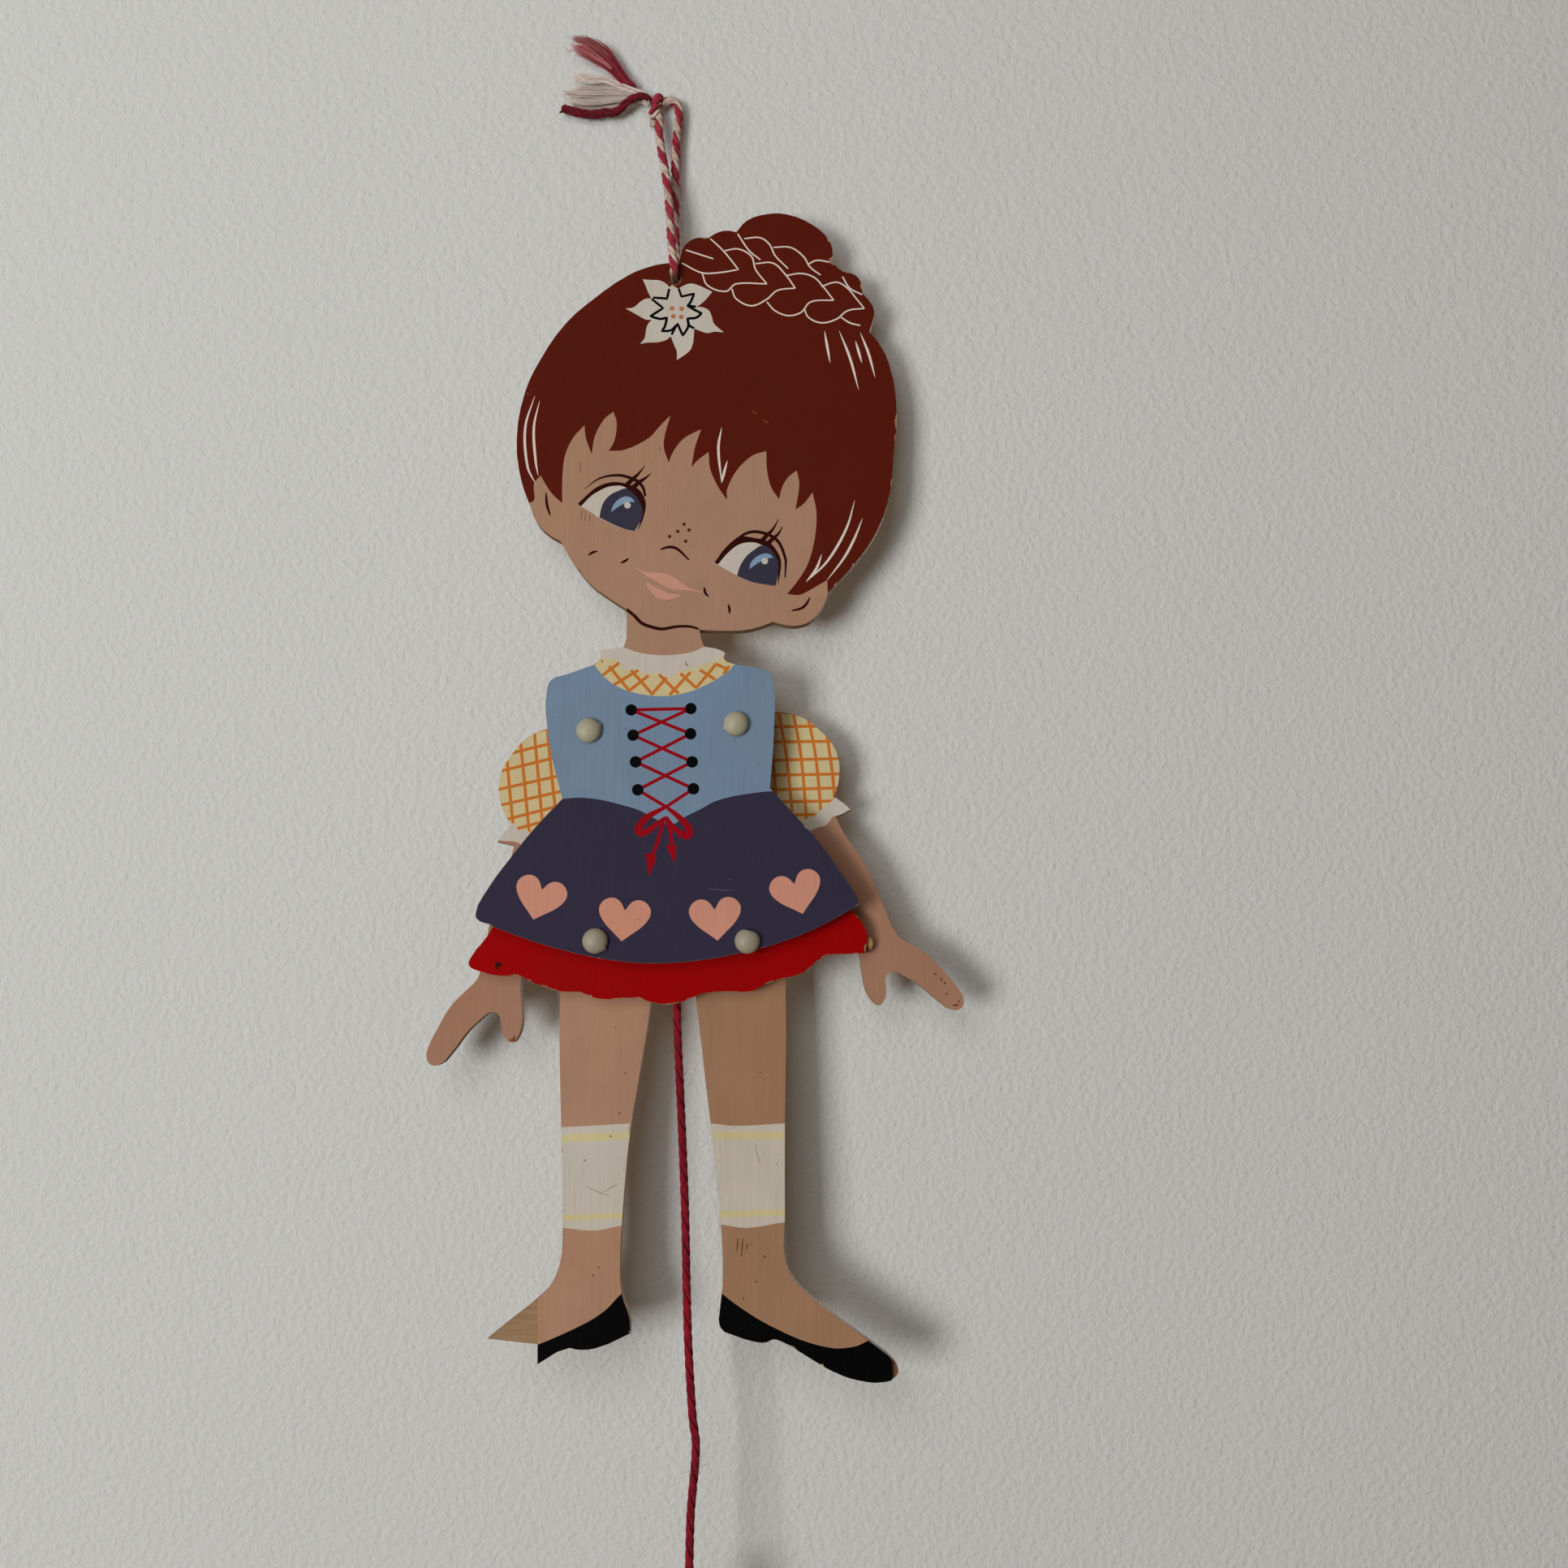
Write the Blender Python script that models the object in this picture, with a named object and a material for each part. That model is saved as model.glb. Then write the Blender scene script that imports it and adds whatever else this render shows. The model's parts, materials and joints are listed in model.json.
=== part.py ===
"""A painted plywood jumping jack: a girl in a dirndl, hanging by a cord loop.

Metres, +Z up, the front faces -Y. The origin is where the loop hangs on its nail.
Left and right are the viewer's. Layers from front to back: front body plate,
petticoat plate (and shoulder spacers), limbs, strings and pin caps.
"""
import math

import bpy
from mathutils import Vector

# Sheet and gaps
PLY = 0.004                  # thickness of every plywood plate
SEAT_GAP = 0.0003            # between pieces that rest on or grip each other
RUN_GAP = 0.0004             # in front of and behind a limb that turns

# Front body plate: each part of it is drawn in its own units, scaled by these widths
HEAD_WIDTH = 0.110           # hair, left to right
BODICE_WIDTH = 0.064
SKIRT_WIDTH = 0.107
PETTICOAT_WIDTH = 0.111
LOOP_DROP = 0.0576           # from the nail down to the hanging hole
LOOP_OFFSET = 0.0022         # the hanging hole lies this far right of the nail
PLATE_FORWARD = 0.005        # the front plate's middle hangs this far in front of the nail

# Limbs
ARM_LENGTH_RIGHT = 0.1005    # shoulder pin to fingertip; the hand-sawn arms differ a little
ARM_LENGTH_LEFT = 0.1020
LEG_LENGTH = 0.120           # hip pin to the sole's lowest point
SHOULDER_SPAN = 0.0415       # between the shoulder pins
SHOULDER_DROP_LEFT = 0.0290  # shoulder pins below the chin
SHOULDER_DROP_RIGHT = 0.0271
HIP_SPAN = 0.0422            # between the hip pins
HIP_CENTRE = 0.0030          # the hips' middle lies this far right of the nail
HIP_ABOVE_HEM = 0.0060
LEFT_ARM_LOWERED = 13.3      # degrees that the left arm hangs below the right one's pose
RAW_TOE_DEPTH = 0.0014       # depth of the face veneer that has split off the left toe
TOE_CHIP_DEPTH = 0.0010      # and off the right toe's tip

# Moving linkage
ARM_LEVER = 0.010            # shoulder pin to string peg
ARM_LEVER_ANGLE = 32.0       # degrees above level, right arm at rest
ARM_SWING = 76.0             # degrees
LEG_LEVER = 0.012            # hip pin to string peg
LEG_LEVER_ANGLE = 30.7       # degrees above level at rest, and below it when pulled

# Pins, caps, spacers and pegs
PIN_SHANK_D = 0.0032
PIN_HEAD_D = 0.0071
PIN_HEAD_HEIGHT = 0.0026
CAP_D = 0.0070
CAP_THICKNESS = 0.0030
CAP_FLOOR = 0.0008           # solid back of a cap
SPACER_D = 0.0110
PEG_SHANK_D = 0.0016
PEG_HEAD_D = 0.0032
PEG_HEAD_THICKNESS = 0.0006

# Cords
LOOP_CORD_D = 0.0026
LOOP_HOLE_D = 0.0034
PULL_CORD_D = 0.0024
STRING_D = 0.0014
CORD_EXIT = 0.0039           # where the pull cord leaves the petticoat, right of the nail
CORD_HANG = 0.1600           # pull cord below the petticoat's hem down to the bead
BEAD_D = 0.0100
CORD_KNOT_D = 0.0046
LOOP_KNOT_D = 0.0050
TUFT_ROOT_D = 0.0020

# Where the layers lie, from front to back
front_face = -PLATE_FORWARD - PLY / 2
front_back = front_face + PLY
petticoat_face = front_back + SEAT_GAP
petticoat_back = petticoat_face + PLY
limb_face = petticoat_back + RUN_GAP
limb_back = limb_face + PLY
cap_face = limb_back + RUN_GAP
cap_back = cap_face + CAP_THICKNESS
cord_y = petticoat_back + SEAT_GAP + STRING_D + SEAT_GAP + PULL_CORD_D / 2
wrap_radius = PULL_CORD_D / 2 + SEAT_GAP + STRING_D / 2
string_y = cord_y + wrap_radius

# Where the parts of the body lie; the drop numbers are in each drawing's own units
head_unit = HEAD_WIDTH / 110
bodice_unit = BODICE_WIDTH / 64
skirt_unit = SKIRT_WIDTH / 107
petticoat_unit = PETTICOAT_WIDTH / 111
right_arm_unit = ARM_LENGTH_RIGHT / 100.5
left_arm_unit = ARM_LENGTH_LEFT / 100.5
leg_unit = LEG_LENGTH / 120
hole_z = -LOOP_DROP
chin_z = hole_z - 104.7 * head_unit
waist_z = chin_z - 47 * bodice_unit
hem_z = waist_z - 47 * skirt_unit
hip_z = hem_z + HIP_ABOVE_HEM
shoulder_left = (-SHOULDER_SPAN / 2, chin_z - SHOULDER_DROP_LEFT)
shoulder_right = (SHOULDER_SPAN / 2, chin_z - SHOULDER_DROP_RIGHT)
hip_left = (HIP_CENTRE - HIP_SPAN / 2, hip_z)
hip_right = (HIP_CENTRE + HIP_SPAN / 2, hip_z)
pin_hole_r = PIN_SHANK_D / 2 + SEAT_GAP
peg_hole_r = PEG_SHANK_D / 2 + SEAT_GAP


def drawn(points, unit, centre, mirror=False, turn=0.0):
    """Put a drawing's points (x, z, corner or not) at a centre, mirrored and turned counter-clockwise."""
    cosine = math.cos(math.radians(turn))
    sine = math.sin(math.radians(turn))
    placed = []
    for x, z, *mark in points:
        if mirror:
            x = -x
        across = (x * cosine - z * sine) * unit
        up = (x * sine + z * cosine) * unit
        placed.append((centre[0] + across, centre[1] + up, bool(mark)))
    return placed


def circle(centre, radius, count=24):
    """Points of a round hole, as wide as the radius across its flats."""
    reach = radius / math.cos(math.pi / count)
    turns = [2 * math.pi * k / count for k in range(count)]
    return [(centre[0] + reach * math.cos(a), centre[1] + reach * math.sin(a)) for a in turns]


def plate(name, outline, holes, face, thickness=PLY, steps=3):
    """A sheet cut to a smooth outline with round holes, its front at y = face."""
    curve = bpy.data.curves.new(name, "CURVE")
    curve.dimensions = "2D"
    curve.fill_mode = "BOTH"
    curve.extrude = thickness / 2
    curve.resolution_u = steps
    edge = curve.splines.new("BEZIER")
    edge.bezier_points.add(len(outline) - 1)
    edge.use_cyclic_u = True
    for knot, (x, z, corner) in zip(edge.bezier_points, outline):
        knot.co = (x, z, 0)
        handle = "VECTOR" if corner else "AUTO"
        knot.handle_left_type = handle
        knot.handle_right_type = handle
    for hole in holes:
        ring = curve.splines.new("POLY")
        ring.points.add(len(hole) - 1)
        ring.use_cyclic_u = True
        for knot, (x, z) in zip(ring.points, hole):
            knot.co = (x, z, 0, 1)
    piece = bpy.data.objects.new(name, curve)
    piece.location = (0, face + thickness / 2, 0)
    piece.rotation_euler = (math.pi / 2, 0, 0)
    bpy.context.collection.objects.link(piece)
    return piece


def solid(name, points, faces):
    """A mesh object from its corners and faces."""
    mesh = bpy.data.meshes.new(name)
    mesh.from_pydata(points, [], faces)
    piece = bpy.data.objects.new(name, mesh)
    bpy.context.collection.objects.link(piece)
    return piece


def turned(name, profile, centre, axis="Y", count=24):
    """A solid of revolution: profile of (radius, height) from one pole or ring to the other.

    A profile that starts and ends on the axis closes at its poles; any other closes on itself.
    """
    closed = profile[0][0] > 0
    points = []
    rings = []
    for radius, height in profile:
        if radius == 0:
            ring = [len(points)]
            points.append((0, 0, height))
        else:
            ring = list(range(len(points), len(points) + count))
            for k in range(count):
                angle = 2 * math.pi * k / count
                points.append((radius * math.cos(angle), radius * math.sin(angle), height))
        rings.append(ring)
    pairs = list(zip(rings, rings[1:]))
    if closed:
        pairs.append((rings[-1], rings[0]))
    faces = []
    for low, high in pairs:
        for k in range(count):
            m = (k + 1) % count
            if len(low) == 1:
                faces.append((low[0], high[m], high[k]))
            elif len(high) == 1:
                faces.append((low[k], low[m], high[0]))
            else:
                faces.append((low[k], low[m], high[m], high[k]))
    x0, y0, z0 = centre
    if axis == "Y":
        placed = [(x0 + x, y0 + h, z0 - y) for x, y, h in points]
    else:
        placed = [(x0 + x, y0 + y, z0 + h) for x, y, h in points]
    return solid(name, placed, faces)


def cord(name, path, radii, sides=8):
    """A round cord swept along a path with one radius, or a radius at each point."""
    centres = [Vector(p) for p in path]
    last = len(centres) - 1
    if not isinstance(radii, (list, tuple)):
        radii = [radii] * len(centres)
    along = []
    for k in range(len(centres)):
        ahead = centres[min(k + 1, last)]
        behind = centres[max(k - 1, 0)]
        along.append((ahead - behind).normalized())
    side = along[0].orthogonal().normalized()
    points = []
    for k, centre in enumerate(centres):
        side = (side - along[k] * side.dot(along[k])).normalized()
        other = along[k].cross(side)
        for s in range(sides):
            angle = 2 * math.pi * s / sides
            reach = side * math.cos(angle) + other * math.sin(angle)
            points.append(centre + reach * radii[k])
    faces = [tuple(reversed(range(sides)))]
    for k in range(last):
        for s in range(sides):
            m = (s + 1) % sides
            low = k * sides
            high = low + sides
            faces.append((low + s, low + m, high + m, high + s))
    faces.append(tuple(range(last * sides, last * sides + sides)))
    return solid(name, points, faces)


def ball(name, centre, width, height, count=16, rings=8):
    """A knot or bead as a round lump with an upright axis."""
    profile = []
    for k in range(rings + 1):
        angle = math.pi * k / rings - math.pi / 2
        radius = 0 if k in (0, rings) else width / 2 * math.cos(angle)
        profile.append((radius, height / 2 * math.sin(angle)))
    return turned(name, profile, centre, axis="Z", count=count)


def cut(piece, name, low, high):
    """Take a box, given by two opposite corners, out of a plate."""
    body = bpy.context.evaluated_depsgraph_get()
    mesh = bpy.data.meshes.new_from_object(piece.evaluated_get(body))
    mesh.transform(piece.matrix_world)
    target_name = piece.name
    bpy.data.objects.remove(piece)
    target = bpy.data.objects.new(target_name, mesh)
    bpy.context.collection.objects.link(target)
    corners = [(x, y, z) for x in (low[0], high[0]) for y in (low[1], high[1]) for z in (low[2], high[2])]
    sides = [(0, 1, 3, 2), (4, 6, 7, 5), (0, 4, 5, 1), (2, 3, 7, 6), (0, 2, 6, 4), (1, 5, 7, 3)]
    tool = solid(name, corners, sides)
    tool.hide_render = True
    tool.hide_set(True)
    bite = target.modifiers.new("bite", "BOOLEAN")
    bite.operation = "DIFFERENCE"
    bite.solver = "EXACT"
    bite.object = tool
    return target


for old in list(bpy.data.objects):
    bpy.data.objects.remove(old)

# Front body plate: drawn clockwise from the left of the neck, over the head and down the right side.
# The head is drawn from the hanging hole, the bodice from the chin and the skirt from the waist.
FACE_LEFT = [(-12.8, -98.8, 1), (-19.1, -94.6), (-23.3, -91.3), (-28.3, -84.9), (-31.8, -78.9, 1)]
EAR_LEFT = [(-35.8, -76.5), (-39.1, -72.9), (-40.6, -69.1)]
HAIR_LEFT = [(-43.6, -60.7), (-45.1, -49.0), (-42.9, -34.3), (-38.8, -24.9), (-31.4, -13.6), (-23.4, -6.2),
             (-13.8, 0.8), (-7.6, 3.5), (-1.7, 4.7), (1.4, 4.5, 1)]
BRAID_LEFT = [(2.1, 8.5), (3.7, 11.0), (6.6, 12.5), (9.9, 12.5, 1), (12.7, 14.2), (15.6, 14.7),
              (18.0, 14.2, 1)]
BUN = [(21.1, 17.8), (27.0, 19.8), (32.5, 19.8), (40.8, 16.2), (44.9, 12.2), (46.2, 9.0), (46.0, 5.0, 1)]
BRAID_RIGHT = [(49.1, 2.2), (52.9, 1.0), (54.8, -2.2), (54.8, -4.5, 1), (56.9, -6.9), (58.3, -9.9),
               (57.8, -13.1), (56.8, -16.3, 1)]
HAIR_RIGHT = [(59.4, -19.5), (62.4, -25.7), (64.6, -40.6), (63.6, -53.0), (62.5, -64.5), (59.0, -75.1),
              (53.8, -83.4), (44.5, -94.1, 1)]
EAR_RIGHT = [(42.2, -99.3), (39.6, -102.1), (36.9, -103.3), (33.4, -103.5), (29.0, -102.4, 1)]
CHIN = [(22.8, -104.5), (16.8, -105.0), (8.0, -104.7, 1)]
BODICE_RIGHT = [(10.7, -2.6), (11.6, -4.9, 1), (16.3, -5.9), (17.6, -6.8, 1), (17.0, -8.0, 1),
                (17.9, -9.2, 1), (20.0, -9.9), (26.4, -11.0), (30.3, -12.4), (31.2, -15.0), (31.5, -27.0),
                (30.3, -45.3, 1)]
SKIRT = [(37.4, -6.1), (43.7, -13.1), (49.8, -21.8), (54.5, -28.8), (55.2, -30.8, 1), (47.5, -35.3),
         (35.8, -40.5), (20.3, -44.7), (4.8, -46.9), (-10.5, -46.7), (-30.1, -42.7), (-41.7, -38.9),
         (-48.0, -36.4), (-51.1, -34.9), (-51.5, -33.5), (-48.2, -26.5), (-42.1, -17.9), (-35.3, -9.3)]
BODICE_LEFT = [(-27.9, -48.3, 1), (-31.3, -35.6), (-32.6, -27.8), (-32.8, -17.3), (-31.7, -14.5),
               (-27.4, -12.9), (-19.6, -10.1, 1), (-17.8, -8.0, 1), (-17.8, -5.9, 1), (-11.4, -5.2, 1),
               (-10.7, -3.3), (-10.5, 0.5)]
hanging_hole = (LOOP_OFFSET, hole_z)
head = drawn(FACE_LEFT + EAR_LEFT + HAIR_LEFT + BRAID_LEFT + BUN
             + BRAID_RIGHT + HAIR_RIGHT + EAR_RIGHT + CHIN,
             head_unit, hanging_hole)
right_side = drawn(BODICE_RIGHT, bodice_unit, (0, chin_z))
skirt = drawn(SKIRT, skirt_unit, (0, waist_z))
left_side = drawn(BODICE_LEFT, bodice_unit, (0, chin_z))
shoulders = (shoulder_left, shoulder_right)
hips = (hip_left, hip_right)
body_holes = [circle(hanging_hole, LOOP_HOLE_D / 2)]
body_holes += [circle(pin, pin_hole_r) for pin in shoulders + hips]
plate("front_body", head + right_side + skirt + left_side, body_holes, front_face)

# Petticoat plate, drawn from the middle of the skirt's hem: a scalloped hem, and a top edge behind the skirt
PETTICOAT = [(-43.0, 20.0, 1), (-48.3, 8.3), (-53.6, 1.1), (-53.9, -0.6), (-51.5, -2.1), (-45.0, -3.6),
             (-39.7, -3.6), (-36.9, -5.0), (-32.8, -6.6), (-28.3, -7.9), (-22.5, -8.2), (-18.5, -9.7),
             (-14.4, -10.1), (-6.5, -9.7), (-3.1, -10.8), (1.7, -11.5), (7.4, -10.2), (11.0, -8.6),
             (17.9, -7.9), (25.4, -7.8), (29.0, -5.9), (33.6, -4.4), (39.7, -2.7), (45.3, 1.8), (53.1, 2.5),
             (56.9, 2.7, 1), (57.4, 8.3), (54.7, 13.1), (47.0, 20.0, 1)]
petticoat_holes = [circle(pin, pin_hole_r) for pin in hips]
plate("petticoat", drawn(PETTICOAT, petticoat_unit, (0, hem_z)), petticoat_holes, petticoat_face)

# Arms, drawn from the shoulder pin as the right one hangs: sleeve, cuff, forearm, hand,
# and the hidden lever end
ARM = [(4.0, 6.4), (11.0, 4.9), (15.2, 4.5), (19.7, 2.8), (24.1, -0.7), (27.3, -4.2), (29.0, -8.2),
       (29.4, -12.0), (28.9, -16.4), (27.7, -19.5, 1), (30.3, -21.3), (32.6, -23.4, 1), (28.2, -25.5, 1),
       (30.9, -30.7), (35.8, -37.8), (41.9, -51.0), (45.7, -59.2), (50.3, -62.2), (54.8, -65.2),
       (59.6, -70.4), (62.7, -74.2), (64.1, -77.4), (63.4, -79.4), (61.4, -80.1), (56.8, -77.4),
       (52.0, -73.3), (47.5, -70.6), (44.3, -69.3), (42.5, -70.0), (42.1, -72.9), (42.2, -75.6),
       (41.5, -77.6), (40.1, -78.8), (38.3, -77.6), (36.4, -74.2), (35.6, -70.4), (34.5, -63.5),
       (30.0, -53.5), (23.5, -40.5), (19.0, -30.6, 1), (14.6, -32.2, 1), (13.4, -28.0, 1), (8.0, -21.5),
       (-1.0, -15.5), (-9.0, -8.5), (-12.8, 0.0), (-12.3, 6.0), (-8.5, 9.4), (-2.0, 8.6)]


def lever_point(pin, length, angle, toward):
    """Peg position: length from the pin, angle degrees above level, toward +1 or -1 along X."""
    lift = math.radians(angle)
    return (pin[0] + toward * length * math.cos(lift), pin[1] + length * math.sin(lift))


left_arm_lever_angle = ARM_LEVER_ANGLE + LEFT_ARM_LOWERED
arm_pegs = (lever_point(shoulder_left, ARM_LEVER, left_arm_lever_angle, 1),
            lever_point(shoulder_right, ARM_LEVER, ARM_LEVER_ANGLE, -1))
leg_pegs = (lever_point(hip_left, LEG_LEVER, LEG_LEVER_ANGLE, 1),
            lever_point(hip_right, LEG_LEVER, LEG_LEVER_ANGLE, -1))
left_arm_outline = drawn(ARM, left_arm_unit, shoulder_left, mirror=True, turn=LEFT_ARM_LOWERED)
right_arm_outline = drawn(ARM, right_arm_unit, shoulder_right)
plate("left_arm", left_arm_outline, [circle(shoulder_left, pin_hole_r),
                                     circle(arm_pegs[0], peg_hole_r)], limb_face)
plate("right_arm", right_arm_outline, [circle(shoulder_right, pin_hole_r),
                                       circle(arm_pegs[1], peg_hole_r)], limb_face)

# Legs, drawn from the hip pin with the toe outward. Both share the hidden lever end above the hem.
LEVER_END = [(9.5, 2.0), (5.0, 7.5), (-2.0, 9.5), (-9.0, 11.2), (-14.0, 8.6), (-15.6, 2.0)]
RIGHT_LEG = [(-15.2, -8.0), (-14.8, -14.8), (-13.1, -28.3), (-10.7, -47.8), (-8.6, -62.2), (-7.4, -76.5),
             (-6.8, -94.0), (-7.5, -100.2), (-7.6, -104.9), (-6.3, -106.6, 1), (1.9, -109.2), (5.2, -109.4),
             (7.2, -108.6), (9.5, -109.2), (16.4, -113.1), (23.9, -117.3), (30.8, -119.5), (37.4, -119.9),
             (40.8, -118.6), (41.5, -116.9), (39.9, -114.1), (35.5, -110.5), (21.1, -100.2), (13.5, -93.4),
             (10.6, -87.8), (10.4, -75.4), (10.4, -49.8), (10.6, -13.7)]
LEFT_LEG = [(-15.2, -8.0), (-14.8, -17.0), (-11.9, -37.0), (-9.6, -51.5), (-7.5, -77.3), (-7.1, -86.9),
            (-7.7, -96.7), (-9.8, -102.7), (-10.1, -107.0, 1), (-0.5, -111.0), (4.6, -111.3), (6.6, -110.9),
            (15.2, -115.2, 1), (15.3, -110.2, 1), (29.3, -108.7, 1), (23.6, -104.2), (16.0, -98.2),
            (12.2, -94.3), (9.6, -88.6), (8.9, -79.0), (9.8, -51.7), (10.7, -14.5)]
RAW_TOE_START = 15.3         # the left toe's face veneer is gone beyond this, in leg units from the pin
CHIP_START = 39.7            # and the right one's beyond this
left_leg = plate("left_leg", drawn(LEFT_LEG + LEVER_END, leg_unit, hip_left, mirror=True),
                 [circle(hip_left, pin_hole_r), circle(leg_pegs[0], peg_hole_r)], limb_face)
right_leg = plate("right_leg", drawn(RIGHT_LEG + LEVER_END, leg_unit, hip_right),
                  [circle(hip_right, pin_hole_r), circle(leg_pegs[1], peg_hole_r)], limb_face)
bpy.context.view_layer.update()
sole_z = hip_z - 1.1 * LEG_LENGTH
knee_z = hip_z - 0.6 * LEG_LENGTH
cut(left_leg, "raw_toe_cutter",
    (hip_left[0] - LEG_LENGTH, limb_face - PLY, sole_z),
    (hip_left[0] - RAW_TOE_START * leg_unit, limb_face + RAW_TOE_DEPTH, knee_z))
cut(right_leg, "toe_chip_cutter",
    (hip_right[0] + CHIP_START * leg_unit, limb_face - PLY, sole_z),
    (hip_right[0] + LEG_LENGTH, limb_face + TOE_CHIP_DEPTH, knee_z))

# Pins and their push-on back caps; a shoulder spacer fills the petticoat's layer behind the bodice
dome = [(PIN_HEAD_D / 2 * math.cos(a), -PIN_HEAD_HEIGHT * math.sin(a)) for a in (0.0, 0.45, 0.85, 1.2)]
shank_end = cap_back - CAP_FLOOR - SEAT_GAP
head_back = front_face - SEAT_GAP
pin_profile = [(0, -PIN_HEAD_HEIGHT)] + dome[::-1] + [(PIN_SHANK_D / 2, 0)]
pin_profile += [(PIN_SHANK_D / 2, shank_end - head_back), (0, shank_end - head_back)]
cap_profile = [(0, cap_back - CAP_FLOOR), (pin_hole_r, cap_back - CAP_FLOOR), (pin_hole_r, cap_face),
               (CAP_D / 2, cap_face), (CAP_D / 2, cap_back), (0, cap_back)]
spacer_profile = [(pin_hole_r, petticoat_face), (SPACER_D / 2, petticoat_face),
                  (SPACER_D / 2, petticoat_back), (pin_hole_r, petticoat_back)]
for place, pin in zip(("shoulder_{}_left", "shoulder_{}_right", "hip_{}_left", "hip_{}_right"),
                      shoulders + hips):
    x, z = pin
    turned(place.format("pin"), pin_profile, (x, head_back, z))
    turned(place.format("cap"), cap_profile, (x, 0, z))
    if pin in shoulders:
        turned(place.format("spacer"), spacer_profile, (x, 0, z))

# String pegs: brads through the limbs' lever ends, headed behind the string
peg_head = string_y + STRING_D / 2 + SEAT_GAP
peg_profile = [(0, limb_face), (PEG_SHANK_D / 2, limb_face), (PEG_SHANK_D / 2, peg_head),
               (PEG_HEAD_D / 2, peg_head),
               (PEG_HEAD_D / 2, peg_head + PEG_HEAD_THICKNESS), (0, peg_head + PEG_HEAD_THICKNESS)]
for limb, (x, z) in zip(("left_arm", "right_arm", "left_leg", "right_leg"), arm_pegs + leg_pegs):
    turned(limb + "_peg", peg_profile, (x, 0, z), count=12)


def reach_range(length, start, swing):
    """Least and greatest distance along X of a peg from its pin as the lever turns down from start."""
    ends = [length * math.cos(math.radians(angle)) for angle in (start, start - swing)]
    return min(ends), length


def string_loop(pin, length, start, swing, peg_z, toward):
    """Lasso round a peg, from its free end to where the string leaves at its bottom; it allows the play."""
    near, far = reach_range(length, start, swing)
    middle = pin[0] + toward * (near + far) / 2
    radius = PEG_SHANK_D / 2 + 2 * SEAT_GAP + STRING_D / 2
    straight = (far - near) / 2 + SEAT_GAP
    path = []
    for angle in (-10, 30, 60, 90):
        path.append((middle + toward * (straight + radius * math.cos(math.radians(angle))),
                     peg_z + radius * math.sin(math.radians(angle))))
    for angle in (90, 60, 30, 0, -30, -60, -90):
        path.append((middle - toward * (straight + radius * math.cos(math.radians(angle))),
                     peg_z + radius * math.sin(math.radians(angle))))
    path.append((middle + toward * straight, peg_z - radius))
    return [(x, string_y, z) for x, z in path]


def pulled_string(name, pins, pegs, length, starts, swing):
    """A string from the left lasso to the right one with one turn round the pull cord."""
    left = string_loop(pins[0], length, starts[0], swing, pegs[0][1], 1)
    right = string_loop(pins[1], length, starts[1], swing, pegs[1][1], -1)
    pitch = STRING_D + SEAT_GAP
    middle_z = (left[-1][2] + right[-1][2]) / 2
    turn = []
    for step in range(13):
        angle = 2 * math.pi * step / 12
        turn.append((CORD_EXIT + wrap_radius * math.sin(angle), cord_y + wrap_radius * math.cos(angle),
                     middle_z + pitch * (0.5 - step / 12)))
    cord(name, left + turn + right[::-1], STRING_D / 2)
    return middle_z


leg_swing = 2 * LEG_LEVER_ANGLE
arm_string_z = pulled_string("arm_string", shoulders, arm_pegs, ARM_LEVER,
                             (left_arm_lever_angle, ARM_LEVER_ANGLE), ARM_SWING)
pulled_string("leg_string", hips, leg_pegs, LEG_LEVER, (LEG_LEVER_ANGLE, LEG_LEVER_ANGLE), leg_swing)

# Pull cord: from its top knot above the arm string straight down, then with the drift
# it hangs in, to the bead
cord_top = arm_string_z + 2 * STRING_D
petticoat_hem_z = hem_z - 11.5 * petticoat_unit
bead_top = petticoat_hem_z - CORD_HANG
bead_bottom = bead_top - BEAD_D
DRIFT = [(0.00, 0.0), (0.22, 1.7), (0.35, 2.7), (0.50, 3.4), (0.58, 3.9), (0.70, 5.2), (0.75, 6.2),
         (0.86, 4.9), (0.95, 4.6), (1.00, 4.6)]
drift_unit = CORD_HANG / 160
cord_path = [(CORD_EXIT, cord_y, cord_top)]
for share, drift in DRIFT:
    cord_path.append((CORD_EXIT + drift * drift_unit, cord_y, petticoat_hem_z - share * CORD_HANG))
end_x = cord_path[-1][0]
cord_path.append((end_x, cord_y, bead_bottom - SEAT_GAP))
cord("pull_cord", cord_path, PULL_CORD_D / 2, sides=12)
ball("cord_top_knot", (CORD_EXIT, cord_y, cord_top + SEAT_GAP + CORD_KNOT_D / 2), CORD_KNOT_D, CORD_KNOT_D)
bead_hole_r = PULL_CORD_D / 2 + SEAT_GAP
bead_mid = (bead_top + bead_bottom) / 2
bead_profile = []
mouth = math.asin(bead_hole_r / (BEAD_D / 2))
for step in range(11):
    angle = mouth + (math.pi - 2 * mouth) * step / 10
    bead_profile.append((BEAD_D / 2 * math.sin(angle), -BEAD_D / 2 * math.cos(angle)))
turned("pull_bead", bead_profile, (end_x, cord_y, bead_mid), axis="Z")
ball("bead_knot", (end_x, cord_y, bead_bottom - 2 * SEAT_GAP - CORD_KNOT_D / 2), CORD_KNOT_D, CORD_KNOT_D)

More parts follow.
